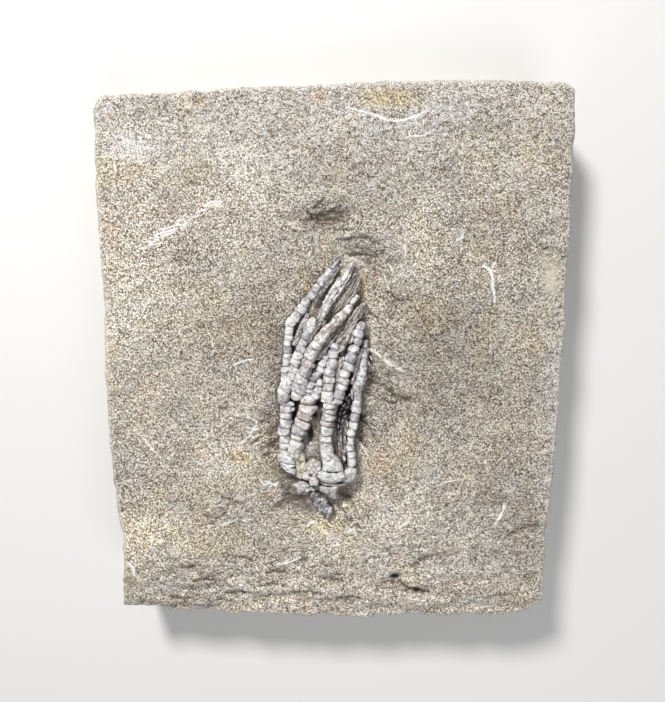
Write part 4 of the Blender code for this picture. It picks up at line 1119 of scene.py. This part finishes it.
def cup(material, cream, stained):
    """The cup's own plates, those with a yellow stain and the mosaic."""
    for name, table, look, nodes in (
        ("cup_plates", CUP_PLATES, material, ["cup"]), ("stained_plates", STAINED_PLATES, stained, []),
    ):
        parts = Parts()
        for values in table:
            plate(parts, *values)
        parts.make(name, look, "pale_calcite", *nodes)
    mosaic(cream)


def mosaic(material):
    """The patch of tiny plates between two rays, packed like honeycomb on one low plate."""
    parts = Parts()
    rng = np.random.default_rng(SEED + 9)
    base = polygon(*MOSAIC_CENTRE, 2.1 * MOSAIC_RADII[0], 2.1 * MOSAIC_RADII[1], 0.0, 9, rng)
    plate(parts, base, MOSAIC_CREST - 0.27, (0.0, 0.0), 0.5, 1.6, 0.0)
    for row in range(-3, 4):
        for column in range(-3, 4):
            px = (column + 0.5 * (row % 2)) * MOSAIC_PITCH + rng.normal(0, 0.08)
            py = row * MOSAIC_PITCH * 0.87 + rng.normal(0, 0.08)
            reach = math.hypot(px / MOSAIC_RADII[0], py / MOSAIC_RADII[1])
            if reach > 0.95 or (px > 0.5 and py > 0.8):
                continue
            size = MOSAIC_PITCH * rng.uniform(0.92, 1.08)
            centre = MOSAIC_CENTRE[0] + px, MOSAIC_CENTRE[1] + py
            outline = polygon(*centre, size, size, 0.0, int(rng.integers(5, 8)), rng)
            crest = MOSAIC_CREST - 0.4 * reach**2 + rng.normal(0, 0.03)
            plate(parts, outline, crest, rng.normal(0, 0.08, 2), 0.04, rng.uniform(0, 0.3),
                  rng.uniform(-0.2, 0.3), 0.05, 0.09, 0.06, 0.05)
    parts.make("mosaic_plates", material, "pale_calcite")


def stem(material):
    """The stub of stem: broken discs of grey calcite across its line, half sunk in the stone."""
    parts = Parts()
    rng = np.random.default_rng(SEED + 15)
    line, _ = smooth_line(STEM_LINE, 0.1)
    direction = np.gradient(line[:, :2], axis=0)
    for row in range(STEM_ROWS):
        pick = int((row + 0.5) / STEM_ROWS * (len(line) - 1))
        x, y, width, crest = line[pick]
        along, turn = direction[pick], math.atan2(direction[pick, 1], direction[pick, 0])
        side = np.array([along[1], -along[0]]) / np.linalg.norm(along)
        blocks = 1 + row % 2
        for block in range(blocks):
            across = ((block + 0.5) / blocks - 0.5) * width + rng.normal(0, 0.12)
            thick = 1.7 * STEM_LENGTH / STEM_ROWS * rng.uniform(0.8, 1.2)
            outline = polygon(
                x + across * side[0], y + across * side[1], thick, 1.15 * width / blocks,
                turn + rng.normal(0, 0.3), 6, rng
            )
            top = crest - 0.4 * (2 * across / width) ** 2 + rng.normal(-0.05, 0.16)
            plate(parts, outline, top, rng.normal(0, 0.25, 2), 0.45 / blocks, rng.uniform(-0.4, 1.2),
                  rng.uniform(-0.2, 0.3), 0.42, 0.1, 0.02)
    parts.make("stem_plates", material, "grey_calcite", "stem")


def loose_bits(name, bits, slot, material, corners=5, slope=0.25, lumps=0.14):
    """Small plates lying loose, each tilted its own way."""
    parts = Parts()
    rng = np.random.default_rng(SEED + 19)
    for x, y, length, width, direction, crest, shade, warm in bits:
        outline = polygon(x, y, length, width, math.radians(direction), corners, rng)
        tilt = rng.normal(0, slope, 2)
        plate(parts, outline, crest - 0.2, tilt, 0.2 * width, shade + 0.2, warm, lumps, 0.1, 0.03)
    parts.make(name, material, slot)


# ---------------------------------------------------------------- pinnules
STRAND_SIDES = 6
STRAND_SPACING = 0.10
BEAD = 0.72  # length of one joint of a strand


def strand(parts, points, diameter, shade, warm, rng, beaded=1.0):
    """One thin jointed branch; points hold x, y and height above the back."""
    line, length = smooth_line(points, STRAND_SPACING)
    total = length[-1]
    _, side = directions(line)
    phase = length / BEAD + rng.uniform()
    beads = 0.80 + 0.22 * (1 - beaded) + 0.42 * beaded * np.abs(np.sin(math.pi * phase)) ** 0.7
    bead = phase.astype(int)
    size = rng.uniform(0.75, 1.2, int(phase.max()) + 2)[bead]
    taper = np.sqrt(np.clip(np.minimum(length / 0.3, (total - length) / 0.5), 0.12, 1))
    radius = 0.5 * diameter * beads * size * taper
    angle = np.linspace(0, 2 * math.pi, STRAND_SIDES, endpoint=False) + rng.uniform(0, 1)
    wobble = 0.10 * diameter * noise(line[:, 0], line[:, 1], line[:, 2], 0.8, int(rng.integers(1000)))
    reach = radius[:, None] * np.cos(angle) + wobble[:, None]
    x = line[:, :1] + side[:, :1] * reach
    y = line[:, 1:2] + side[:, 1:2] * reach
    z = line[:, 2:3] + radius[:, None] * np.sin(angle) * 1.15
    rough = (0.05 + 0.05 * (1 - beaded)) * fractal(x, y, z, 0.4, SEED + 71, 2)
    vertices = np.stack([x + rough, y - rough, z + rough], -1).reshape(-1, 3)
    faces = tube_faces(len(line), STRAND_SIDES)
    dark = np.repeat(np.clip(1.9 - beads * 1.9, 0, 1), STRAND_SIDES)
    tone = shade + 0.25 * np.repeat(rng.normal(0, 1, int(phase.max()) + 2)[bead], STRAND_SIDES)
    # Painted light: strands lighter on top and darker underneath.
    high = (0.7 * np.sin(angle) + 3.0 * rough).reshape(-1)
    parts.add(vertices, faces, groove=dark, foot=0.12, shade=tone, warm=warm, worn=0.4, high=high)


# name: nodes it stands for, centre line (x, y, half width of the bundle, crest), number of
# strands, their thickness, shade range, warmth
BUNDLES = {
    "pinnule_crest": (
        ["pinnule_crest"],
        [(-2.7, 8.8, 0.6, 2.0), (-1.1, 12.2, 0.85, 2.7), (0.5, 15.0, 0.85, 2.4), (2.3, 17.6, 0.65, 1.9),
        (4.0, 20.8, 0.25, 1.3)],
        20,
        0.46,
        (-0.6, 0.5),
        -0.1,
    ),
    "pinnules_left": (
        ["pinnules_left"],
        [(-3.9, 11.6, 0.5, 1.0), (-1.6, 16.0, 0.8, 1.1), (1.6, 20.4, 0.5, 0.7)],
        9,
        0.4,
        (0.5, 0.9),
        0.3,
    ),
    "pinnules_middle": (
        ["pinnules_middle"],
        [(0.2, 10.4, 0.8, 1.7), (2.2, 13.4, 1.3, 1.8), (3.9, 15.9, 1.2, 1.6), (5.3, 18.4, 0.6, 1.0)],
        17,
        0.44,
        (0.85, 1.7),
        0.5,
    ),
    "pinnules_right": (
        ["pinnules_right"],
        [(2.5, 6.6, 0.6, 1.7), (4.3, 9.7, 1.0, 1.6), (6.1, 12.4, 0.7, 1.0)],
        12,
        0.46,
        (0.3, 1.0),
        0.6,
    ),
    "pinnules_low": (
        ["pinnules_low"],
        [(2.2, -20.6, 0.7, 0.9), (1.8, -17.1, 0.9, 1.1), (1.6, -13.6, 0.6, 0.8)],
        9,
        0.42,
        (0.4, 1.1),
        0.3,
    ),
    "pinnules_cup": (
        [],
        [(-5.6, -20.6, 0.4, 1.1), (-4.9, -18.9, 0.7, 1.2), (-4.6, -17.2, 0.3, 0.9)],
        7,
        0.3,
        (0.0, 0.6),
        -0.2,
    ),
    "pinnules_inner": (
        [],
        [(0.6, 3.2, 0.5, 2.2), (2.2, 4.6, 1.1, 2.4), (3.4, 6.4, 1.0, 2.0), (4.6, 8.6, 0.5, 1.5)],
        12,
        0.48,
        (0.1, 0.9),
        0.5,
    ),
    "pinnules_between": (
        [],
        [(-3.7, 0.8, 0.4, 2.6), (-1.8, 3.4, 0.8, 2.5), (0.6, 6.0, 0.7, 2.3)],
        10,
        0.42,
        (0.2, 0.9),
        0.3,
    ),
    "pinnules_gap": (
        [],
        [(-8.2, 3.4, 0.4, 1.5), (-6.6, 7.0, 0.6, 1.7), (-5.2, 10.2, 0.4, 1.6)],
        8,
        0.42,
        (0.1, 0.7),
        0.2,
    ),
    "pinnules_inset": (
        [],
        [(-5.6, 3.6, 0.3, 1.9), (-4.3, 6.0, 0.4, 2.1), (-2.7, 8.6, 0.5, 2.0), (-1.5, 10.4, 0.3, 1.8)],
        8,
        0.42,
        (0.2, 0.9),
        0.2,
    ),
    "pinnules_side": (
        [],
        [(4.4, -3.8, 0.25, 1.6), (5.0, -0.4, 0.4, 1.9), (6.1, 3.8, 0.35, 1.5)],
        6,
        0.42,
        (0.2, 0.8),
        0.2,
    ),
    "pinnules_seam": (
        [],
        [(0.2, -7.0, 0.3, 2.2), (0.7, -3.4, 0.5, 2.3), (1.8, 1.2, 0.6, 2.4)],
        7,
        0.4,
        (0.5, 1.0),
        0.8,
    ),
}


PALE_BUNDLES = ("pinnule_crest", "pinnules_cup")


def bundle(name, nodes, points, strands, diameter, shades, warm, material):
    """Side branches matted together, running along one line at slightly different angles."""
    slot, beaded = ("pale_calcite", 0.5) if name in PALE_BUNDLES else ("brown_pinnules", 1.0)
    rng = np.random.default_rng(SEED + 2 * sum(map(ord, name)))
    line, _ = smooth_line(points, 0.4)
    _, side = directions(line)
    parts = Parts()
    for number in range(strands):
        place = 2 * (number + 0.5) / strands - 1
        start = rng.uniform(0.0, 0.55) if number % 3 else 0.0
        stop = min(1.0, start + rng.uniform(0.35, 1.0))
        picks = np.linspace(start, stop, 8) * (len(line) - 1)
        rows = np.column_stack([np.interp(picks, np.arange(len(line)), c) for c in line.T])
        across = np.column_stack([np.interp(picks, np.arange(len(line)), c) for c in side.T])
        drift = place + rng.normal(0, 0.12) + rng.normal(0, 0.28) * np.linspace(-1, 1, 8)
        offset = np.clip(drift + rng.normal(0, 0.06, 8), -1.15, 1.15) * rows[:, 2]
        level = FACE + rows[:, 3] - 0.45 * place**2 - diameter * 0.5
        level = level - rng.choice([0.0, 0.15, 0.35]) + rng.normal(0, 0.07, 8)
        route = np.column_stack([rows[:, :2] + across * offset[:, None], level])
        thick = diameter * rng.uniform(0.8, 1.15)
        shade = rng.uniform(*shades) - 0.8 * (number % 4 == 1)
        strand(parts, route, thick, shade, warm, rng, beaded)
    parts.make(name + "_strands", material, slot, *nodes)


# ---------------------------------------------------------------- materials
class Shader:
    """Short ways to build a node material."""

    def __init__(self, name, roughness, specular):
        self.material = bpy.data.materials.new(name)
        self.material.use_nodes = True
        self.tree = self.material.node_tree
        self.principled = self.tree.nodes["Principled BSDF"]
        self.principled.inputs["Roughness"].default_value = roughness
        self.principled.inputs["Specular IOR Level"].default_value = specular
        self.place = self.tree.nodes.new("ShaderNodeTexCoord").outputs["Object"]

    def link(self, source, target):
        if isinstance(source, (int, float)):
            target.default_value = source
        elif isinstance(source, tuple):
            target.default_value = (*source, 1.0)
        else:
            self.tree.links.new(source, target)

    def noise(self, size, detail=2.0, roughness=0.5, stretch=(1, 1, 1), turn=0.0):
        """Noise with features about as large as size in mm, squeezed by stretch along turned axes."""
        mapping = self.tree.nodes.new("ShaderNodeMapping")
        mapping.vector_type = "TEXTURE"
        mapping.inputs["Rotation"].default_value = (0.0, 0.0, math.radians(turn))
        mapping.inputs["Scale"].default_value = [1.0 / share for share in stretch]
        self.tree.links.new(self.place, mapping.inputs["Vector"])
        node = self.tree.nodes.new("ShaderNodeTexNoise")
        node.inputs["Scale"].default_value = 1000.0 / size
        node.inputs["Detail"].default_value = detail
        node.inputs["Roughness"].default_value = roughness
        self.tree.links.new(mapping.outputs[0], node.inputs["Vector"])
        return node.outputs["Fac"]

    def cells(self, size):
        """Two random values for each grain."""
        node = self.tree.nodes.new("ShaderNodeTexVoronoi")
        node.inputs["Scale"].default_value = 1000.0 / size
        self.tree.links.new(self.place, node.inputs["Vector"])
        split = self.tree.nodes.new("ShaderNodeSeparateColor")
        self.tree.links.new(node.outputs["Color"], split.inputs[0])
        return split.outputs[0], split.outputs[1]

    def edges(self, size):
        """Distance to the nearest edge between cells, as a share of a cell."""
        node = self.tree.nodes.new("ShaderNodeTexVoronoi")
        node.feature = "DISTANCE_TO_EDGE"
        node.inputs["Scale"].default_value = 1000.0 / size
        self.tree.links.new(self.place, node.inputs["Vector"])
        return node.outputs["Distance"]

    def math(self, kind, a, b=0.0, clamp=False):
        node = self.tree.nodes.new("ShaderNodeMath")
        node.operation = kind
        node.use_clamp = clamp
        self.link(a, node.inputs[0])
        self.link(b, node.inputs[1])
        return node.outputs[0]

    def total(self, *terms):
        """Sum of values, each with its weight."""
        values = [self.math("MULTIPLY", value, weight) for value, weight in terms]
        result = values[0]
        for value in values[1:]:
            result = self.math("ADD", result, value)
        return result

    def uneven(self, value, texture, middle, strength):
        """The value, pushed up and down by a texture about its middle."""
        push = self.math("MULTIPLY", self.math("SUBTRACT", texture, middle), strength)
        return self.math("ADD", value, push)

    def remap(self, value, low, high, to_low=0.0, to_high=1.0, kind="SMOOTHSTEP"):
        node = self.tree.nodes.new("ShaderNodeMapRange")
        node.interpolation_type = kind
        self.link(value, node.inputs["Value"])
        ends = {"From Min": low, "From Max": high, "To Min": to_low, "To Max": to_high}
        for key, number in ends.items():
            node.inputs[key].default_value = number
        return node.outputs[0]

    def mix(self, share, a, b, kind="MIX"):
        node = self.tree.nodes.new("ShaderNodeMix")
        node.data_type = "RGBA"
        node.blend_type = kind
        self.link(share, node.inputs["Factor"])
        self.link(a, node.inputs[6])
        self.link(b, node.inputs[7])
        return node.outputs[2]

    def attribute(self, name):
        node = self.tree.nodes.new("ShaderNodeAttribute")
        node.attribute_name = name
        return node.outputs["Fac"]

    def ramp(self, value, stops):
        node = self.tree.nodes.new("ShaderNodeValToRGB")
        elements = node.color_ramp.elements
        while len(elements) < len(stops):
            elements.new(0.5)
        for element, (position, colour) in zip(elements, stops):
            element.position = position
            element.color = (*colour, 1.0)
        self.link(value, node.inputs[0])
        return node.outputs[0]

    def bump(self, height, depth, before=None):
        node = self.tree.nodes.new("ShaderNodeBump")
        node.inputs["Strength"].default_value = 1.0
        node.inputs["Distance"].default_value = depth * MM
        self.link(height, node.inputs["Height"])
        if before is not None:
            self.tree.links.new(before, node.inputs["Normal"])
        return node.outputs[0]

    def finish(self, colour, normal):
        """Joins the colour and the bumps to the surface and returns the material."""
        self.link(colour, self.principled.inputs["Base Color"])
        self.tree.links.new(normal, self.principled.inputs["Normal"])
        return self.material


# Marks on the stone in the order they are laid on: attribute, colour, where the mark starts to show
# and where it is full, the most that shows, way of mixing, how uneven its edge is.
MARKS = [
    ("bloom", (0.86, 0.85, 0.86), 0.35, 1.35, 0.85, "MIX", 2.6),
    ("cream", (0.66, 0.61, 0.49), 0.15, 0.95, 0.80, "MIX", 1.0),
    ("pale_blue", (0.55, 0.56, 0.66), 0.15, 1.15, 0.80, "MIX", 2.6),
    ("ochre", (1.0, 0.84, 0.48), 0.05, 1.1, 0.85, "MULTIPLY", 1.0),
    ("rust", (0.98, 0.78, 0.66), 0.05, 1.1, 0.85, "MULTIPLY", 1.0),
    # The next mark darkens the hollows: painted shade, with some broader darker stone.
    ("shade", (0.36, 0.32, 0.29), 0.05, 1.3, 0.95, "MULTIPLY", -1.8),
    # The next mark darkens the stone at the foot of the arms: painted shade.
    ("arm_foot_shade", (0.125, 0.100, 0.080), 0.25, 1.2, 0.78, "MIX", 1.0),
    # The next mark is painted shade in the holes and pits, with one dark slate patch of stone.
    ("hole_shade", (0.055, 0.053, 0.066), 0.20, 0.95, 0.92, "MIX", 1.0),
    # The next mark is painted shade in the grooves, cracks and worked zones.
    ("groove", (0.075, 0.060, 0.047), 0.35, 1.15, 0.85, "MIX", 2.0),
    ("ridge", (0.86, 0.83, 0.74), 0.30, 1.10, 0.80, "MIX", 1.8),
    # The next mark paints the rim paler: worn edge and painted highlight.
    ("rim", (0.74, 0.71, 0.65), 0.40, 1.50, 0.60, "MIX", 1.0),
    ("scratch", (0.92, 0.92, 0.90), 0.35, 0.85, 0.95, "MIX", 1.0),
]


def stone_material():
    """Sandy siltstone: speckled grains, broad tints, the darker stone of the crown with painted shade between
    the arms, streaks and marks, some of them painted shade.
    """
    s = Shader("sandy_siltstone", 0.92, 0.18)
    broad = s.noise(17.0, 3.0)
    middle = s.noise(4.5, 3.0, 0.55, (1.0, 1.8, 1.0))
    small = s.noise(1.2, 3.0, 0.6, (1.0, 1.5, 1.0))
    fine = s.noise(0.20, 2.0, 0.65)
    grain, tint = s.cells(0.22)
    value = s.total((fine, 2.05), (grain, 0.70), (small, 0.20), (middle, 0.30), (broad, 0.28))
    colour = s.ramp(s.math("SUBTRACT", value, 1.270), [
        (0.20, (0.085, 0.065, 0.048)), (0.38, (0.269, 0.221, 0.167)), (0.50, (0.438, 0.381, 0.309)),
        (0.62, (0.608, 0.553, 0.471)), (0.80, (0.940, 0.900, 0.828)),
    ])
    cool = s.remap(tint, 0.0, 0.45, 0.55, 0.0)
    colour = s.mix(cool, colour, (0.88, 0.98, 1.10), "MULTIPLY")
    warm = s.remap(tint, 0.55, 1.0, 0.0, 0.55)
    colour = s.mix(warm, colour, (1.10, 1.0, 0.84), "MULTIPLY")
    pink = s.remap(s.noise(9.0, 2.0), 0.50, 0.70, 0.0, 0.32)
    colour = s.mix(pink, colour, (1.12, 0.97, 0.90), "MULTIPLY")
    yellow = s.remap(s.noise(12.0, 2.0, 0.5, (1.3, 1.0, 1.0)), 0.50, 0.72, 0.0, 0.55)
    colour = s.mix(yellow, colour, (1.04, 1.0, 0.82), "MULTIPLY")
    grey = s.remap(s.noise(7.0, 3.0, 0.5, (1.0, 1.2, 1.0)), 0.50, 0.70, 0.0, 0.6)
    colour = s.mix(grey, colour, (0.90, 0.93, 0.99), "MULTIPLY")
    tone = s.attribute("tone")
    darker = s.remap(tone, 0.0, -0.8, 0.0, 1.0, "LINEAR")
    colour = s.mix(darker, colour, (0.45, 0.44, 0.43), "MULTIPLY")
    lighter = s.remap(tone, 0.0, 0.4, 0.0, 1.0, "LINEAR")
    colour = s.mix(lighter, colour, (1.49, 1.49, 1.49), "MULTIPLY")
    ragged = s.total((fine, 1.0), (small, 0.7))
    ragged = s.math("MULTIPLY", s.math("SUBTRACT", ragged, 0.85), 1.3)

    # Darker stone between the arms of the crown: partly darker matrix, partly painted shade.
    bed = s.mix(s.remap(s.math("ADD", s.math("MULTIPLY", small, 0.5), fine), 0.60, 0.92),
                (0.13, 0.105, 0.083), (0.52, 0.475, 0.41))
    colour = s.mix(s.math("MULTIPLY", s.attribute("bed"), 0.80), colour, bed)
    for name, turn in STREAKS:
        lines = s.noise(0.42, 3.0, 0.6, (0.28, 1.0, 1.0), turn)
        zone = s.attribute(name)
        light = s.math("MULTIPLY", s.remap(lines, 0.56, 0.70, 0.0, 0.55), zone)
        colour = s.mix(light, colour, (0.84, 0.80, 0.72))
        # Dark streak lines: painted shade of fine grooves.
        dark = s.math("MULTIPLY", s.remap(lines, 0.47, 0.36, 0.0, 0.95), zone)
        colour = s.mix(dark, colour, (0.095, 0.078, 0.062))
    for name, tint, low, high, most, kind, uneven in MARKS:
        strength = s.attribute(name)
        share = s.math("ADD", strength, s.math("MULTIPLY", ragged, uneven))
        share = s.math("MULTIPLY", s.remap(share, low, high, 0.0, most), s.remap(strength, 0.02, 0.25))
        colour = s.mix(share, colour, tint, kind)
    normal = s.bump(s.total((fine, 0.7), (grain, 0.25)), 0.14)
    normal = s.bump(small, 0.35, normal)
    return s.finish(colour, normal)


def calcite_material(name, pale, grey, dark, painted_highlight, dirty):
    """Fossil plates: pale, greyer by the shade attribute, dirty in the joints, with a painted highlight on
    the crests, painted shade on the low sides, and dirt and painted shade at the foot.
    """
    s = Shader(name, 0.62, 0.25)
    cloud = s.noise(1.5, 3.0, 0.6)
    fine = s.noise(0.26, 2.0, 0.6)
    speck = s.noise(0.50, 3.0, 0.65)
    value = s.uneven(s.attribute("shade"), cloud, 0.46, 2.4)
    colour = s.mix(s.remap(value, 0.0, 1.0), pale, grey)
    pink = s.remap(s.math("ADD", s.attribute("warm"), s.noise(2.2, 2.0)), 0.65, 1.5, 0.0, 0.75)
    colour = s.mix(pink, colour, (0.60, 0.50, 0.435))
    grime = s.remap(s.noise(2.3, 4.0, 0.7), 0.52, 0.66, 0.0, dirty)
    colour = s.mix(grime, colour, (0.30, 0.255, 0.215))
    # Painted light by height: a white painted highlight where high is large, lavender painted shade where it
    # is low.
    level = s.uneven(s.attribute("high"), speck, 0.5, 2.6)
    colour = s.mix(s.remap(level, 0.32, 1.05, 0.0, painted_highlight), colour, (0.97, 0.965, 0.97))
    colour = s.mix(s.remap(level, 0.10, -0.60, 0.0, 0.60), colour, (0.245, 0.232, 0.270))
    pits = s.remap(fine, 0.42, 0.26, 0.0, 0.55)
    colour = s.mix(pits, colour, (0.22, 0.20, 0.19))
    scars = s.math("MULTIPLY", s.attribute("worn"), s.remap(speck, 0.50, 0.38, 0.0, 0.7))
    colour = s.mix(scars, colour, (0.20, 0.16, 0.135))
    crack = s.uneven(s.edges(1.5), speck, 0.5, 0.22)
    crack = s.math("MULTIPLY", s.remap(crack, 0.085, 0.02, 0.0, 0.70), s.remap(cloud, 0.42, 0.56))
    colour = s.mix(crack, colour, (0.20, 0.175, 0.165))
    joint = s.uneven(s.attribute("groove"), speck, 0.5, 1.3)
    colour = s.mix(s.remap(joint, 0.35, 1.15, 0.0, 0.52), colour, dark)
    # Dark at the foot: dirt, and painted shade where the plates meet the stone.
    dirt = s.uneven(s.attribute("foot"), cloud, 0.5, 1.4)
    colour = s.mix(s.remap(dirt, 0.25, 1.0, 0.0, 0.80), colour, (0.165, 0.135, 0.112))
    normal = s.bump(fine, 0.07)
    normal = s.bump(speck, 0.24, normal)
    normal = s.bump(cloud, 0.35, normal)
    return s.finish(colour, normal)


def crust_material(name, start, full, dark, pale, spots):
    """Dry powder, or the painted shade in the grooves: two shades in fine grains, with spots from a coarser
    texture.
    """
    s = Shader(name, 0.95, 0.1)
    fine = s.noise(0.24, 2.0, 0.6)
    speck = s.noise(0.6, 2.0, 0.6)
    colour = s.mix(s.remap(fine, start, full), dark, pale)
    low, high, most, tint = spots
    colour = s.mix(s.remap(speck, low, high, 0.0, most), colour, tint)
    return s.finish(colour, s.bump(fine, 0.06))


def floor_material():
    s = Shader("pale_floor", 0.75, 0.2)
    tone = s.mix(s.noise(180.0, 2.0), (0.76, 0.755, 0.745), (0.80, 0.795, 0.785))
    return s.finish(tone, s.bump(s.noise(2.0, 2.0), 0.02))


# ---------------------------------------------------------------- stage
VIEW_TILT = math.radians(8.0)
VIEW_DISTANCE = 140.0  # from the slab's face, along the line of sight
VIEW_AIM = (-0.2, 2.2)
FRAME_WIDTH, FRAME_HEIGHT = 665, 702
FOCAL_PIXELS = 665.0
SENSOR = 36.0


def camera():
    """The photo's view: from above, leaning a little to the slab's far end."""
    data = bpy.data.cameras.new("camera")
    data.sensor_width = SENSOR
    data.lens = SENSOR * FOCAL_PIXELS / max(FRAME_WIDTH, FRAME_HEIGHT)
    data.clip_start, data.clip_end = 0.005, 10.0
    holder = bpy.data.objects.new("camera", data)
    bpy.context.scene.collection.objects.link(holder)
    away = VIEW_DISTANCE * np.array([0.0, math.sin(VIEW_TILT), math.cos(VIEW_TILT)])
    holder.location = (np.array([*VIEW_AIM, FACE]) + away + CENTRING) * MM
    holder.rotation_euler = (-VIEW_TILT, 0.0, 0.0)
    bpy.context.scene.camera = holder


def area_light(name, place, size, power, colour):
    """A round soft light that looks at the origin, placed in metres."""
    data = bpy.data.lights.new(name, "AREA")
    data.shape = "DISK"
    data.size = size
    data.energy = power
    data.color = colour
    light = bpy.data.objects.new(name, data)
    bpy.context.scene.collection.objects.link(light)
    light.location = place
    aim = -np.array(place) / np.linalg.norm(place)
    light.rotation_euler = (math.acos(-aim[2]), 0.0, math.atan2(-aim[0], aim[1]))
    return light


def studio():
    """Two soft lights, a dim pale surround and the plain floor."""
    area_light("key_light", (-0.18, 0.38, 0.37), 0.11, 3.4, (1.0, 0.99, 0.97))
    area_light("fill_light", (0.16, -0.36, 0.42), 0.40, 1.0, (0.98, 0.985, 1.0))
    world = bpy.data.worlds.new("studio")
    world.use_nodes = True
    world.node_tree.nodes["Background"].inputs["Color"].default_value = (0.97, 0.98, 1.0, 1.0)
    world.node_tree.nodes["Background"].inputs["Strength"].default_value = 0.26
    bpy.context.scene.world = world
    bpy.context.scene.view_settings.view_transform = "Standard"
    size = 1.5
    corners = [(-size, -size, 0.0), (size, -size, 0.0), (size, size, 0.0), (-size, size, 0.0)]
    mesh = bpy.data.meshes.new("floor")
    mesh.from_pydata(corners, [], [(0, 1, 2, 3)])
    mesh.materials.append(floor_material())
    floor = bpy.data.objects.new("floor", mesh)
    bpy.context.scene.collection.objects.link(floor)


# ---------------------------------------------------------------- build
# Calcite looks: pale, greyer and joint colour, share of painted highlight on the crests, share of grime.
CALCITES = {
    "pale_calcite": ((0.75, 0.740, 0.728), (0.36, 0.35, 0.395), (0.075, 0.062, 0.060), 0.80, 0.50),
    "grey_calcite": ((0.46, 0.445, 0.475), (0.12, 0.112, 0.130), (0.045, 0.037, 0.034), 0.45, 0.9),
    "cream_calcite": ((0.76, 0.74, 0.66), (0.52, 0.50, 0.45), (0.045, 0.036, 0.028), 0.4, 0.55),
    "dark_calcite": ((0.23, 0.235, 0.270), (0.060, 0.060, 0.075), (0.018, 0.016, 0.018), 0.25, 0.55),
    "brown_pinnules": ((0.56, 0.53, 0.52), (0.105, 0.085, 0.082), (0.040, 0.033, 0.030), 0.35, 0.55),
    "stained_calcite": ((0.74, 0.69, 0.52), (0.50, 0.45, 0.31), (0.050, 0.042, 0.032), 0.5, 0.55),
}
POWDER = (0.34, 0.56, (0.72, 0.70, 0.66), (0.95, 0.95, 0.94), (0.44, 0.32, 0.6, (0.50, 0.46, 0.40)))
# Colours of the painted shade strips in the grooves.
GROOVE_SHADE_LOOK = (0.36, 0.60, (0.065, 0.052, 0.041), (0.205, 0.172, 0.138), (0.50, 0.62, 0.7, (0.36, 0.31, 0.255)))


def build():
    """The whole scene, piece by piece."""
    camera()
    studio()
    matrix_slab(stone_material())
    looks = {name: calcite_material(name, *values) for name, values in CALCITES.items()}
    pale = looks["pale_calcite"]
    scratches(crust_material("white_powder", *POWDER))
    groove_shade(crust_material("groove_shade", *GROOVE_SHADE_LOOK))
    cup(pale, looks["cream_calcite"], looks["stained_calcite"])
    stem(looks["grey_calcite"])
    loose_bits("loose_bits", BITS, "pale_calcite", pale)
    loose_bits("dark_bits", DARK_BITS, "grey_calcite", looks["dark_calcite"], 4, 0.5, 0.22)
    for name, (plates, options, points) in ARMS.items():
        arm(name, plates, options, points, pale)
    for name, values in BUNDLES.items():
        bundle(name, *values, pale if name in PALE_BUNDLES else looks["brown_pinnules"])


build()
